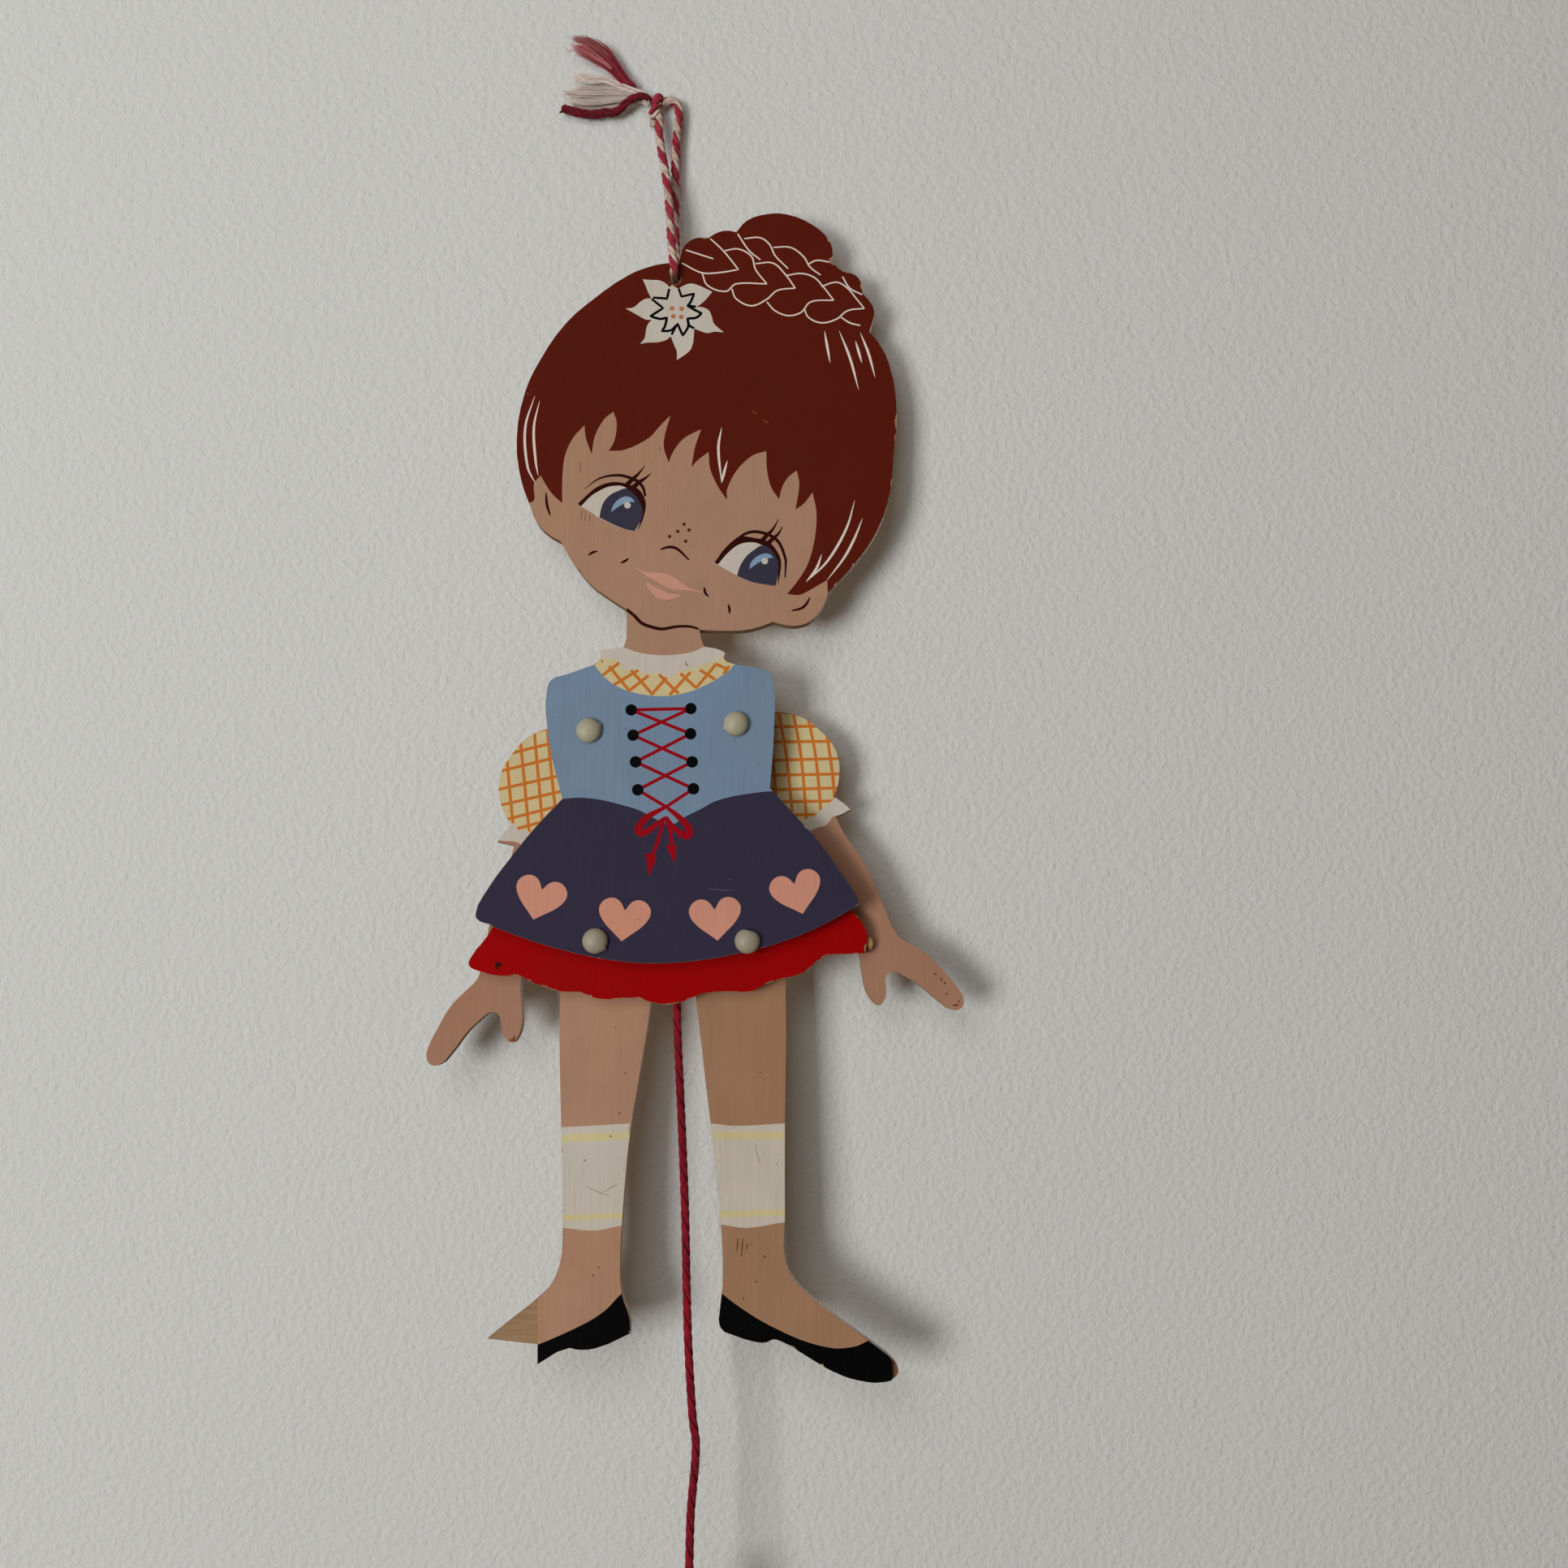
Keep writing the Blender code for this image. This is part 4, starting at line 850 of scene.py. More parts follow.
# Paint on the petticoat.
# One coat of bright red on the second plate, behind the skirt; its scalloped hem is worn
# to the wood. Near the left end a small dark spot is painted shade of a dent.
PETTICOAT_RED = (144, 0, 2)
# Painted shade: the colour of the flat spot that stands for the dent.
DENT_SHADE = (62, 12, 8)
DENT_AT = (-45.6, -257.1)
DENT = [(-0.7, 0.9), (0.8, 0.8), (0.9, -0.3), (0.2, -0.2), (0, -0.9), (-0.8, -0.7)]
HEM_CHIPS = [
    (56.9, -252.2, 1.4, 0.5), (-30.0, -263.5, 1.5, 0.3), (-12.0, -266.2, 2.0, 0.25),
    (-40.5, -260.0, 1.6, 0.3), (8.0, -266.3, 1.4, 0.3), (30.0, -261.5, 1.5, 0.25),
    (46.0, -254.4, 1.5, 0.25)]
layers = stacked(("dent", filled(np.array(DENT) + DENT_AT)))
petticoat_inks = {"petticoat_paint": ink("petticoat_red", PETTICOAT_RED, 0.5, 0.5),
                  "dent": ink("dent_painted_shade", DENT_SHADE)}
painted("petticoat", "puppet", "petticoat_paint", (5, 44, HEM_CHIPS), layers, petticoat_inks)

# Paint on the arms.
# Each arm has a cream puffed sleeve with a hand-ruled orange check, a white frill at its cuff,
# and a skin-coloured forearm and hand. All but the scuffs is drawn from the shoulder pin.
ARM_SKIN = (155, 115, 94)
ARM_SCUFF = (112, 66, 38)
CHECK_WIDTH = 0.8
CUFF_RIGHT = [
    (40, -14, 1), (28.1, -19.9), (27.2, -20.8), (24.0, -23.4), (22.3, -25.0), (19.7, -26.2),
    (18.5, -28.0), (14.0, -31.0), (5, -36, 1)]
HAND_RIGHT = [
    (40, -21, 1), (29.5, -24.8), (27.3, -25.4), (26.5, -26.7), (25.0, -28.0), (22.5, -28.7),
    (20.0, -30.0), (18.4, -31.4), (10, -36, 1)]
CUFF_LEFT = [
    (-34, -21, 1), (-21.8, -25.7), (-20.8, -27.3), (-18.2, -27.3), (-17.5, -28.1), (-14.0, -29.5),
    (-6.0, -34.0), (-2, -38, 1)]
HAND_LEFT = [
    (-38, -30, 1), (-25.0, -30.4), (-20.6, -31.0), (-19.3, -33.0), (-15.5, -34.5), (-10.5, -35.6),
    (-4, -38, 1)]
CHECK_RIGHT = [
    [(-3.0, 10.0), (1.6, -9.0), (2.6, -32.0)], [(2.0, 10.0), (6.1, -9.0), (7.2, -32.0)],
    [(6.5, 10.0), (10.2, -9.0), (12.0, -32.0)], [(11.0, 10.0), (14.2, -8.4), (16.4, -31.0)],
    [(15.0, 10.0), (18.3, -7.7), (20.3, -32.0)], [(19.4, 8.0), (22.6, -8.4), (24.4, -30.0)],
    [(24.9, 4.0), (27.3, -12.7), (28.3, -26.0)], [(-10.0, 8.6), (12.0, 9.0), (34.0, 9.2)],
    [(-10.0, 4.6), (12.0, 4.8), (34.0, 5.0)], [(-10.0, 0.1), (12.0, 0.6), (34.0, 0.9)],
    [(-10.0, -4.0), (12.0, -3.8), (34.0, -3.6)], [(-10.0, -9.8), (12.0, -9.1), (34.0, -8.5)],
    [(-10.0, -13.6), (12.0, -13.4), (34.0, -13.0)], [(-10.0, -18.2), (12.0, -17.6), (34.0, -17.0)],
    [(-10.0, -21.3), (12.0, -21.1), (34.0, -20.8)], [(-10.0, -25.0), (12.0, -24.9), (34.0, -24.7)]]
CHECK_LEFT = [
    [(-29.3, 2.0), (-27.8, -12.0), (-25.8, -30.0)], [(-25.4, 2.0), (-23.6, -15.0), (-21.6, -32.0)],
    [(-21.7, 7.0), (-19.4, -13.0), (-17.0, -34.0)], [(-17.5, 8.0), (-15.4, -12.0), (-13.0, -34.0)],
    [(-13.8, 8.0), (-11.5, -12.0), (-8.8, -34.0)], [(-9.8, 8.0), (-7.4, -12.0), (-4.6, -34.0)],
    [(-5.6, 8.0), (-3.4, -12.0), (-0.6, -34.0)], [(-1.4, 8.0), (0.8, -12.0)],
    [(-30.0, 2.5), (-13.0, 6.5), (8.0, 11.5)], [(-30.0, -2.0), (-13.0, 2.0), (8.0, 7.0)],
    [(-30.0, -6.9), (-13.0, -2.6), (8.0, 2.5)], [(-30.0, -11.3), (-12.4, -6.9), (8.0, -2.0)],
    [(-30.0, -16.4), (-10.7, -12.0), (8.0, -7.5)], [(-30.0, -21.1), (-9.2, -16.3), (8.0, -12.3)],
    [(-30.0, -25.8), (-10.8, -20.8), (8.0, -16.2)], [(-30.0, -29.4), (-14.1, -25.0), (8.0, -19.2)],
    [(-26.0, -33.0), (-10.0, -28.6), (8.0, -23.5)]]
ARMS = {
    "left_arm": {
        "wear": (8, 20), "pin": (-20.75, -191.3),
        "check": CHECK_LEFT, "cuff": CUFF_LEFT, "hand": HAND_LEFT,
        "outside": [(-2, -130, 1), (-130, -130, 1), (-130, -30, 1)],
        "scuffs": [
            [(-42.9, -277.9), (-41.9, -277.6), (-41.2, -276.4)], [(-41.9, -278.2), (-41.2, -277.2)]]},
    "right_arm": {
        "wear": (9, 20), "pin": (20.75, -189.4),
        "check": CHECK_RIGHT, "cuff": CUFF_RIGHT, "hand": HAND_RIGHT,
        "outside": [(2, -130, 1), (130, -130, 1), (130, -20, 1)],
        "scuffs": [
            [(76.5, -259.2), (77.2, -259.5)], [(78.2, -260.6), (78.9, -261.1)],
            [(79.3, -261.5), (79.8, -262.2)], [(79.8, -264.7), (80.2, -265.2)],
            [(81.6, -268.2), (83.4, -268.0)], [(83.1, -266.9), (83.6, -267.2)]]}}
arm_inks = {"sleeve": ink("sleeve_paint", CREAM, 0.6, 1.6), "check": ink("check_paint", INK_ORANGE, 0.5),
            "cuff": ink("cuff_paint", INK_WHITE), "skin": ink("arm_skin_paint", ARM_SKIN, 0.9),
            "scuffs": ink("arm_scuff_stain", ARM_SCUFF, 0.8)}
for arm, drawing in ARMS.items():
    from_pin = stacked(
        ("check", brushed(drawing["check"], CHECK_WIDTH, CHECK_WIDTH + 0.1, CHECK_WIDTH)),
        ("cuff", filled(drawing["cuff"] + drawing["outside"])),
        ("skin", filled(drawing["hand"] + drawing["outside"])))
    layers = [(name, outline + drawing["pin"]) for name, outline in from_pin]
    layers += stacked(("scuffs", brushed(drawing["scuffs"], 0.3, 0.6, 0.3)))
    painted(arm, arm, "sleeve", drawing["wear"], layers, arm_inks, arm + "_")

# Paint on the legs.
# Bare knees, white socks with two yellow stripes, and black shoes. The left toe and the tip of the right
# one have split off with their paint, so the wood shows there. Along the left toe's split, a pale strip on
# the face stands for the split veneer's edge: bare wood, with a painted highlight where the window lights
# that edge.
LEFT_SKIN = (164, 125, 102)
RIGHT_SKIN = (150, 114, 88)
STRIPE = (193, 181, 137)
LEG_SCUFF = (104, 74, 55)
SOCK_SCRATCH = (146, 126, 108)
# Painted highlight: the strip along the left toe's split has the wood's colour, lightened as the lit edge
# of the split veneer.
SPLIT_EDGE_LIT_WOOD = (176, 130, 86)
TOE_FROM = 0.0566
TOE_AGE = 2.2
LEGS = {
    "left_leg": {
        "sock": [
            (-45, -302.6, 1), (-28.0, -301.8), (-7.9, -300.7), (10, -299.7, 1), (10, -328.0, 1),
            (-10.5, -328.5), (-18.1, -329.8), (-27.1, -329.1), (-45, -328.4, 1)],
        "stripes": [
            ([(-45, -305.8), (-27.7, -304.9), (-8.1, -304.0), (10, -303.2)], 2.1),
            ([(-45, -326.8), (-26.9, -326.4), (-10.3, -325.7), (10, -325.2)], 1.6)],
        "shoe": [
            (5, -335, 1), (-10.5, -346.7), (-14.9, -351.1), (-20.6, -354.7), (-33.4, -360.3),
            (-50, -366, 1), (-50, -390, 1), (20, -390, 1), (20, -335, 1)],
        "scuffs": [
            [(-10.3, -286.7), (-10.1, -287.2)], [(-11.7, -297.6), (-11.5, -298.2)],
            [(-14.2, -304.0), (-14.0, -304.5)], [(-21.3, -310.6), (-21.1, -311.0)],
            [(-17.0, -339.4), (-16.8, -340.0)], [(-18.6, -341.6), (-18.4, -342.2)],
            [(-8.4, -356.6), (-7.8, -357.3)]],
        "scratches": [
            [(-21.1, -317.7), (-17.6, -319.3), (-13.7, -320.6)], [(-16.0, -319.5), (-11.5, -316.9)]],
        "splits": [[(-33.25, -346.8), (-33.2, -359.9)]], "skin": LEFT_SKIN, "wear": (28, 16)},
    "right_leg": {
        "sock": [
            (-5, -300.0, 1), (13.2, -300.7), (20.9, -301.4), (34.4, -300.7), (50, -300.0, 1),
            (50, -327.0, 1), (34.4, -327.6), (23.9, -329.1), (16.7, -328.2), (-5, -327.0, 1)],
        "stripes": [
            ([(-5, -303.4), (13.6, -304.0), (34.4, -304.0), (50, -303.6)], 2.1),
            ([(-5, -325.0), (16.5, -325.4), (34.4, -324.9), (50, -324.5)], 1.7)],
        "shoe": [
            (5, -335, 1), (17.2, -346.7), (26.0, -352.8), (33.5, -356.7), (40.4, -359.5),
            (48.0, -361.2), (53.8, -360.7), (56.7, -359.5), (75, -352, 1), (75, -390, 1), (5, -390, 1)],
        "scuffs": [
            [(27.4, -286.5), (27.6, -287.0)], [(21.5, -331.7), (21.2, -335.5)],
            [(22.9, -331.7), (22.4, -336.9)], [(24.1, -333.1), (23.9, -335.0)],
            [(25.2, -333.4), (25.4, -333.9)], [(28.4, -336.6), (29.3, -337.2)],
            [(26.2, -343.4), (27.0, -343.6)], [(22.8, -347.6), (23.2, -348.4)]],
        "scratches": [[(26.0, -305.9), (26.6, -308.8), (27.9, -312.4)]], "splits": [],
        "skin": RIGHT_SKIN, "wear": (29, 16)}}
# The wood at the tip of the right toe is the most aged.
toe = frame["nodes"]["right_leg"].data
toe.materials.append(plywood("right_toe_ply", plate_front["right_leg"], TOE_AGE))
middles = np.empty(len(toe.polygons) * 3)
toe.polygons.foreach_get("center", middles)
toe.polygons.foreach_set("material_index", (middles.reshape(-1, 3)[:, 0] > TOE_FROM).astype(np.int32))
for leg, drawing in LEGS.items():
    layers = stacked(
        ("sock", filled(drawing["sock"])),
        ("stripes", [brush_line(line, (width, width, width)) for line, width in drawing["stripes"]]),
        ("shoe", filled(drawing["shoe"])),
        ("scuffs", brushed(drawing["scuffs"], 0.18, 0.46, 0.18)),
        ("scratches", brushed(drawing["scratches"], 0.08, 0.24, 0.08)),
        ("split", brushed(drawing["splits"], 0.5, 0.6, 0.5)))
    leg_inks = {
        "skin": ink(leg + "_skin_paint", drawing["skin"]),
        "sock": ink(leg + "_sock_paint", INK_WHITE, 1.2),
        "stripes": ink(leg + "_stripe_paint", STRIPE, 0.8),
        "shoe": ink(leg + "_shoe_paint", INK_BLACK, 0.3),
        "scuffs": ink(leg + "_scuff_stain", LEG_SCUFF, 0.8),
        "scratches": ink(leg + "_scratch_stain", SOCK_SCRATCH, 0.8),
        "split": ink(leg + "_lit_split_edge", SPLIT_EDGE_LIT_WOOD, 1.2)}
    painted(leg, leg, "skin", drawing["wear"], layers, leg_inks, leg + "_")

# Pins.
# Four cream plastic rivets, domed head and shank moulded in one, pushed through the plates from the
# front. A gate mark stands on the rim of three heads, and the fourth was trimmed flat there.
PIN_HEAD_R = 3.55
PIN_RIM = 0.25
PIN_DOME = 2.6
PIN_SHANK_R = 1.6
PIN_HEAD_Y = -7.3
PIN_END_Y = 8.0
POINT_R = 0.02
TRIMMED_REACH = 0.45
GATE_REACH = 0.13
# Each pin's x and z, the bearing of its gate mark in degrees, and how far the mark stands out.
PINS = {
    "shoulder_pin_left": (-20.75, -191.3, 25, 0.55), "shoulder_pin_right": (20.75, -189.4, 203, 0.5),
    "hip_pin_left": (-18.1, -250.3, -40, 0.45), "hip_pin_right": (24.1, -250.3, 75, -0.75)}
PLASTIC = (160, 154, 131)
HIP_PLASTIC = (146, 137, 120)
YELLOWED_PLASTIC = (0.36, 0.30, 0.19, 1)
GRIME = (0.16, 0.14, 0.10, 1)
SCATTER = (1.0, 0.95, 0.85)

moulded, entry, coordinates = surface_group("moulded_plastic", {"Plastic": ("Color", (1, 1, 1, 1))})
place = coordinates["Object"]
cloud = noise(moulded, place, (420, 420, 420), 3.0)
dust = noise(moulded, place, (2600, 2600, 2600), 2.0)
yellowed = mixed(moulded, ranged(moulded, cloud, 0.35, 0.7, 0.0, 0.35), entry["Plastic"], YELLOWED_PLASTIC)
grimy = mixed(moulded, ranged(moulded, dust, 0.62, 0.74, 0.0, 0.3), yellowed, GRIME)
put_out(moulded, grimy, ranged(moulded, dust, 0.3, 0.7, 0.36, 0.55),
        worked(moulded, "ADD", cloud, worked(moulded, "MULTIPLY", dust, 0.3)))


def rings_mesh(name, rings, materials, body, looped=False):
    """A piece made of tubes, given as rings (tube, ring, point round it, xyz) in millimetres.

    Four-sided faces join neighbouring rings, and the end rings are filled, or joined to each other
    where the tube is looped. The UV map holds the length along the tube in millimetres and the turn
    round it, counted on from tube to tube. Tubes take the materials in turn.
    """
    tubes, rows, count, _ = rings.shape
    index = np.arange(tubes * rows * count).reshape(tubes, rows, count)
    middle = rings.mean(axis=2)
    run = np.cumsum(np.linalg.norm(np.diff(middle, axis=1, prepend=middle[:, :1]), axis=2), axis=1)
    along = np.repeat(run[:, :, None], count, axis=2)
    turn = np.arange(tubes)[:, None, None] + np.tile(np.arange(count) / count, (tubes, rows, 1))
    if looped:
        near, far = index, np.roll(index, -1, axis=1)
        near_run, far_run, near_turn = along, np.roll(along, -1, axis=1), turn
    else:
        near, far = index[:, :-1], index[:, 1:]
        near_run, far_run, near_turn = along[:, :-1], along[:, 1:], turn[:, :-1]
    faces = np.stack([near, np.roll(near, -1, axis=2), np.roll(far, -1, axis=2), far], axis=-1)
    faces = faces.reshape(-1, 4)
    face_u = np.stack([near_run, near_run, far_run, far_run], axis=-1).ravel()
    face_v = np.stack([near_turn, near_turn + 1 / count, near_turn + 1 / count, near_turn], axis=-1).ravel()
    owner = np.repeat(np.arange(tubes), near[0].size)
    lids = np.concatenate([index[:, 0, ::-1], index[:, -1]])[:0 if looped else None]
    mesh = bpy.data.meshes.new(name)
    mesh.from_pydata((rings.reshape(-1, 3) * MM).tolist(), [], faces.tolist() + lids.tolist())
    uv = np.stack([np.concatenate([face_u, along.ravel()[lids].ravel()]),
                   np.concatenate([face_v, turn.ravel()[lids].ravel()])], axis=1)
    mesh.uv_layers.new(name="length_and_turn").data.foreach_set("uv", uv.ravel())
    for material in materials:
        mesh.materials.append(material)
    lid_owner = np.tile(np.arange(tubes), 2)[:len(lids)]
    mesh.polygons.foreach_set("material_index", np.concatenate([owner, lid_owner]) % len(materials))
    mesh.shade_smooth()
    piece = linked(bpy.data.objects.new(name, mesh))
    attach(piece, body)
    return piece


def turned(profile, centre, count=48):
    """Rings of a piece turned on an axis along +Y.

    The profile is (radius, y), from the front to the back; every point of it goes round the axis.
    """
    radius, y = np.array(profile, dtype=float).T
    angle = full_turn(count)
    x = centre[0] + radius[:, None] * np.cos(angle)
    z = centre[1] - radius[:, None] * np.sin(angle)
    return np.stack([x, np.repeat(y[:, None], count, axis=1), z], axis=-1)[None]


def translucent(name, colour):
    """Cream plastic that light enters a little way."""
    material = dressed(name, moulded, {"Plastic": tint(*colour)}, 0.3, 0.0001, 0.35)
    shader = material.node_tree.nodes["Principled BSDF"]
    shader.inputs["Subsurface Weight"].default_value = 0.4
    shader.inputs["Subsurface Radius"].default_value = SCATTER
    shader.inputs["Subsurface Scale"].default_value = 0.0012
    return material


cream_plastic = translucent("cream_plastic", PLASTIC)
grey_plastic = translucent("grey_cream_plastic", HIP_PLASTIC)
dome_angle = np.linspace(0.02, np.pi / 2, 14)
dome_y = PIN_HEAD_Y - PIN_RIM - (PIN_DOME - PIN_RIM) * np.cos(dome_angle)
pin_profile = np.vstack([
    np.column_stack([PIN_HEAD_R * np.sin(dome_angle), dome_y]),
    [(PIN_HEAD_R - 0.03, PIN_HEAD_Y - 0.1), (PIN_HEAD_R - 0.15, PIN_HEAD_Y), (PIN_SHANK_R, PIN_HEAD_Y),
     (PIN_SHANK_R, PIN_HEAD_Y + 0.4), (PIN_SHANK_R, PIN_END_Y - 0.3), (PIN_SHANK_R - 0.3, PIN_END_Y),
     (POINT_R, PIN_END_Y)]])
for name, (x, z, bearing, mark) in PINS.items():
    rings = turned(pin_profile, (x, z))
    out = rings[..., [0, 2]] - (x, z)
    away = (np.arctan2(out[..., 1], out[..., 0]) - math.radians(bearing) + np.pi) % (2 * np.pi) - np.pi
    rim = np.clip(np.linalg.norm(out, axis=-1) / PIN_HEAD_R, 0, 1) ** 10
    reach = GATE_REACH if mark > 0 else TRIMMED_REACH
    push = mark / PIN_HEAD_R * rim * np.exp(-(away / reach) ** 2)
    rings[..., [0, 2]] += out * push[..., None]
    plastic = grey_plastic if name.startswith("hip") else cream_plastic
    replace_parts(rings_mesh(name + "_moulded", rings, [plastic], "puppet"), name)

# Caps and spacers.
# A push-on cup of the same plastic holds each pin at the back; at the shoulders, where there is no
# petticoat, a turned beech washer keeps the arm's plate at its distance.
CAP_R = 3.5
CAP_FACE_Y = 6.1
CAP_BACK_Y = 9.1
CAP_FLOOR_Y = 8.3
BORE_R = 1.9
SPACER_R = 5.5
SPACER_FACE_Y = -2.7
SPACER_BACK_Y = 1.3
BEECH = (188, 152, 112)
WOOD_FLECK = (0.13, 0.07, 0.035, 1)
cap_profile = [
    (POINT_R, CAP_FLOOR_Y), (BORE_R, CAP_FLOOR_Y), (BORE_R, CAP_FACE_Y + 0.2), (BORE_R + 0.2, CAP_FACE_Y),
    (CAP_R - 0.2, CAP_FACE_Y), (CAP_R, CAP_FACE_Y + 0.2), (CAP_R, CAP_BACK_Y - 0.6),
    (CAP_R - 0.2, CAP_BACK_Y - 0.2), (CAP_R - 0.7, CAP_BACK_Y), (1.2, CAP_BACK_Y),
    (1.0, CAP_BACK_Y - 0.15), (POINT_R, CAP_BACK_Y - 0.15)]
spacer_profile = [
    (BORE_R, SPACER_FACE_Y), (SPACER_R - 0.3, SPACER_FACE_Y), (SPACER_R, SPACER_FACE_Y + 0.3),
    (SPACER_R, SPACER_BACK_Y - 0.3), (SPACER_R - 0.3, SPACER_BACK_Y), (BORE_R, SPACER_BACK_Y)]

turned_wood, entry, coordinates = surface_group("turned_wood", {"Wood": ("Color", (1, 1, 1, 1))})
wood = entry["Wood"]
flecks = noise(turned_wood, coordinates["Object"], (1900, 1900, 260), 3.0)
bands = noise(turned_wood, coordinates["Object"], (330, 330, 60), 2.0)
darker = node(turned_wood, "ShaderNodeVectorMath", {0: wood, "Scale": 0.55}, operation="SCALE")
band_share = ranged(turned_wood, bands, 0.35, 0.65, 0.0, 0.55)
banded = mixed(turned_wood, band_share, wood, darker.outputs["Vector"])
flecked = mixed(turned_wood, ranged(turned_wood, flecks, 0.58, 0.72, 0.0, 0.5), banded, WOOD_FLECK)
put_out(turned_wood, flecked, ranged(turned_wood, flecks, 0.3, 0.7, 0.45, 0.7), flecks)
beech = dressed("beech", turned_wood, {"Wood": tint(*BEECH)}, 0.3, 0.0001, 0.25)
for name, (x, z, _, _) in PINS.items():
    cap = name.replace("pin", "cap")
    rings = turned(cap_profile, (x, z))
    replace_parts(rings_mesh(cap + "_moulded", rings, [cream_plastic], "puppet"), cap)
    spacer = name.replace("pin", "spacer")
    if spacer in frame["nodes"]:
        rings = turned(spacer_profile, (x, z))
        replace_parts(rings_mesh(spacer + "_turned", rings, [beech], "puppet", looped=True), spacer)

# Drop of varnish.
# Varnish ran along the petticoat's edge and set as an amber bead at its right end.
DROP_AT = (58.3, -0.4, -250.8)
DROP_HALF = (1.1, 1.0, 1.9)
PALE_AMBER = (0.80, 0.46, 0.16, 1)
DEEP_AMBER = (0.62, 0.29, 0.08, 1)


def ellipsoid(centre, half, rows, count):
    """Rings of an ellipsoid from its top down: sines and cosines of two angles, times its half sizes."""
    down = np.linspace(0.03, np.pi - 0.03, rows)[:, None]
    bearing = full_turn(count)
    level = np.repeat(np.cos(down), count, axis=1)
    ball = np.stack([np.sin(down) * np.cos(bearing), -np.sin(down) * np.sin(bearing), level], axis=-1)
    return (np.array(centre) + np.array(half) * ball)[None]


amber, tree, shader = new_material("amber_varnish")
place = node(tree, "ShaderNodeTexCoord").outputs["Object"]
cloudy = noise(tree, place, (700, 700, 500), 3.0)
amber_colour = mixed(tree, ranged(tree, cloudy, 0.35, 0.65), PALE_AMBER, DEEP_AMBER)
plug(tree, amber_colour, shader.inputs["Base Color"])
plug(tree, ranged(tree, cloudy, 0.3, 0.7, 0.08, 0.2), shader.inputs["Roughness"])
shader.inputs["Transmission Weight"].default_value = 0.4
shader.inputs["IOR"].default_value = 1.48
rings_mesh("varnish_drop", ellipsoid(DROP_AT, DROP_HALF, 20, 28), [amber], "puppet")

# String pegs.
# A brass brad through the lever end of each limb, with a flat head behind that keeps the string on.
PEGS = {
    "left_arm": (-13.72, -184.19), "right_arm": (12.27, -184.10),
    "left_leg": (-7.78, -244.17), "right_leg": (13.78, -244.17)}
PEG_PROFILE = [
    (POINT_R, 1.7), (0.8, 1.7), (0.8, 7.7), (1.5, 7.7), (1.6, 7.8), (1.6, 8.15), (1.45, 8.3),
    (POINT_R, 8.3)]
BRIGHT_BRASS = (0.55, 0.38, 0.13, 1)
DULL_BRASS = (0.22, 0.13, 0.05, 1)
brass, tree, shader = new_material("brass")
place = node(tree, "ShaderNodeTexCoord").outputs["Object"]
tarnish = noise(tree, place, (900, 900, 900), 4.0)
brass_colour = mixed(tree, ranged(tree, tarnish, 0.4, 0.7), BRIGHT_BRASS, DULL_BRASS)
plug(tree, brass_colour, shader.inputs["Base Color"])
plug(tree, ranged(tree, tarnish, 0.35, 0.7, 0.25, 0.6), shader.inputs["Roughness"])
shader.inputs["Metallic"].default_value = 1.0
for limb, centre in PEGS.items():
    rings = turned(PEG_PROFILE, centre, 24)
    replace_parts(rings_mesh(limb + "_brad", rings, [brass], limb), limb + "_peg")

# Pull cord, with its knots.
# A dark red two-ply cotton cord that hangs behind the plates from a stopper knot down to the bead,
# with the bends it has kept from its wrapping and a tuft of broken fibres part of the way down.
PULL_D = 2.4
PULL_PITCH = 13.4
PULL_LINE = [
    (3.9, 4.5, -183.45), (3.9, 4.5, -225.0), (3.9, 4.5, -267.8), (5.6, 4.5, -303.0), (6.6, 4.5, -323.8),
    (7.3, 4.5, -347.8), (7.8, 4.5, -360.6), (9.1, 4.5, -379.8), (10.1, 4.5, -387.8), (8.8, 4.5, -405.4),
    (8.5, 4.5, -419.8), (8.5, 4.5, -427.8), (8.5, 4.5, -438.1)]
PULL_RED = (148, 14, 36)
PULL_SHADE = (92, 4, 18)
FADED_COTTON = (0.55, 0.33, 0.29, 1)
# Dark brown that the loop turns below a height: partly a stain, partly painted shade where the cord lies in
# the hole in the hair.
STAIN_AND_SHADE_BROWN = (0.10, 0.04, 0.016, 1)
# A ply's distance from the cord's middle and its section's half sizes, in shares of the cord's diameter.
PLY_OFFSET = 0.22
PLY_DEPTH = 0.24
PLY_WIDTH = 0.43
STOPPER_SIZE = 2.3
STOPPER_PLY_D = 1.8
STOPPER_PITCH = 8.0

yarn, entry, coordinates = surface_group("cotton_yarn", {
    "Light": ("Color", (1, 1, 1, 1)), "Shade": ("Color", (0, 0, 0, 1)),
    "Fade": ("Float", 0.0), "Stain_and_shade": ("Float", -1.0)})
fibre = noise(yarn, coordinates["UV"], (0.55, 13, 1), 3.0)
fleck = noise(yarn, coordinates["UV"], (0.16, 2.4, 1), 2.0)
run = node(yarn, "ShaderNodeSeparateXYZ", {0: coordinates["UV"]}).outputs
own_tube = node(yarn, "ShaderNodeCombineXYZ", {"X": run["X"], "Y": worked(yarn, "FLOOR", run["Y"])})
strand = noise(yarn, own_tube.outputs["Vector"], (0.02, 0.45, 1), 1.0)
share = worked(yarn, "ADD", worked(yarn, "MULTIPLY", fibre, 0.45), worked(yarn, "MULTIPLY", fleck, 0.2))
share = worked(yarn, "ADD", share, worked(yarn, "MULTIPLY", strand, 0.35))
spun = mixed(yarn, ranged(yarn, share, 0.37, 0.63), entry["Shade"], entry["Light"])
strand_fade = worked(yarn, "MULTIPLY", strand, entry["Fade"])
worn = worked(yarn, "MULTIPLY", ranged(yarn, run["X"], 14.0, 34.0), strand_fade)
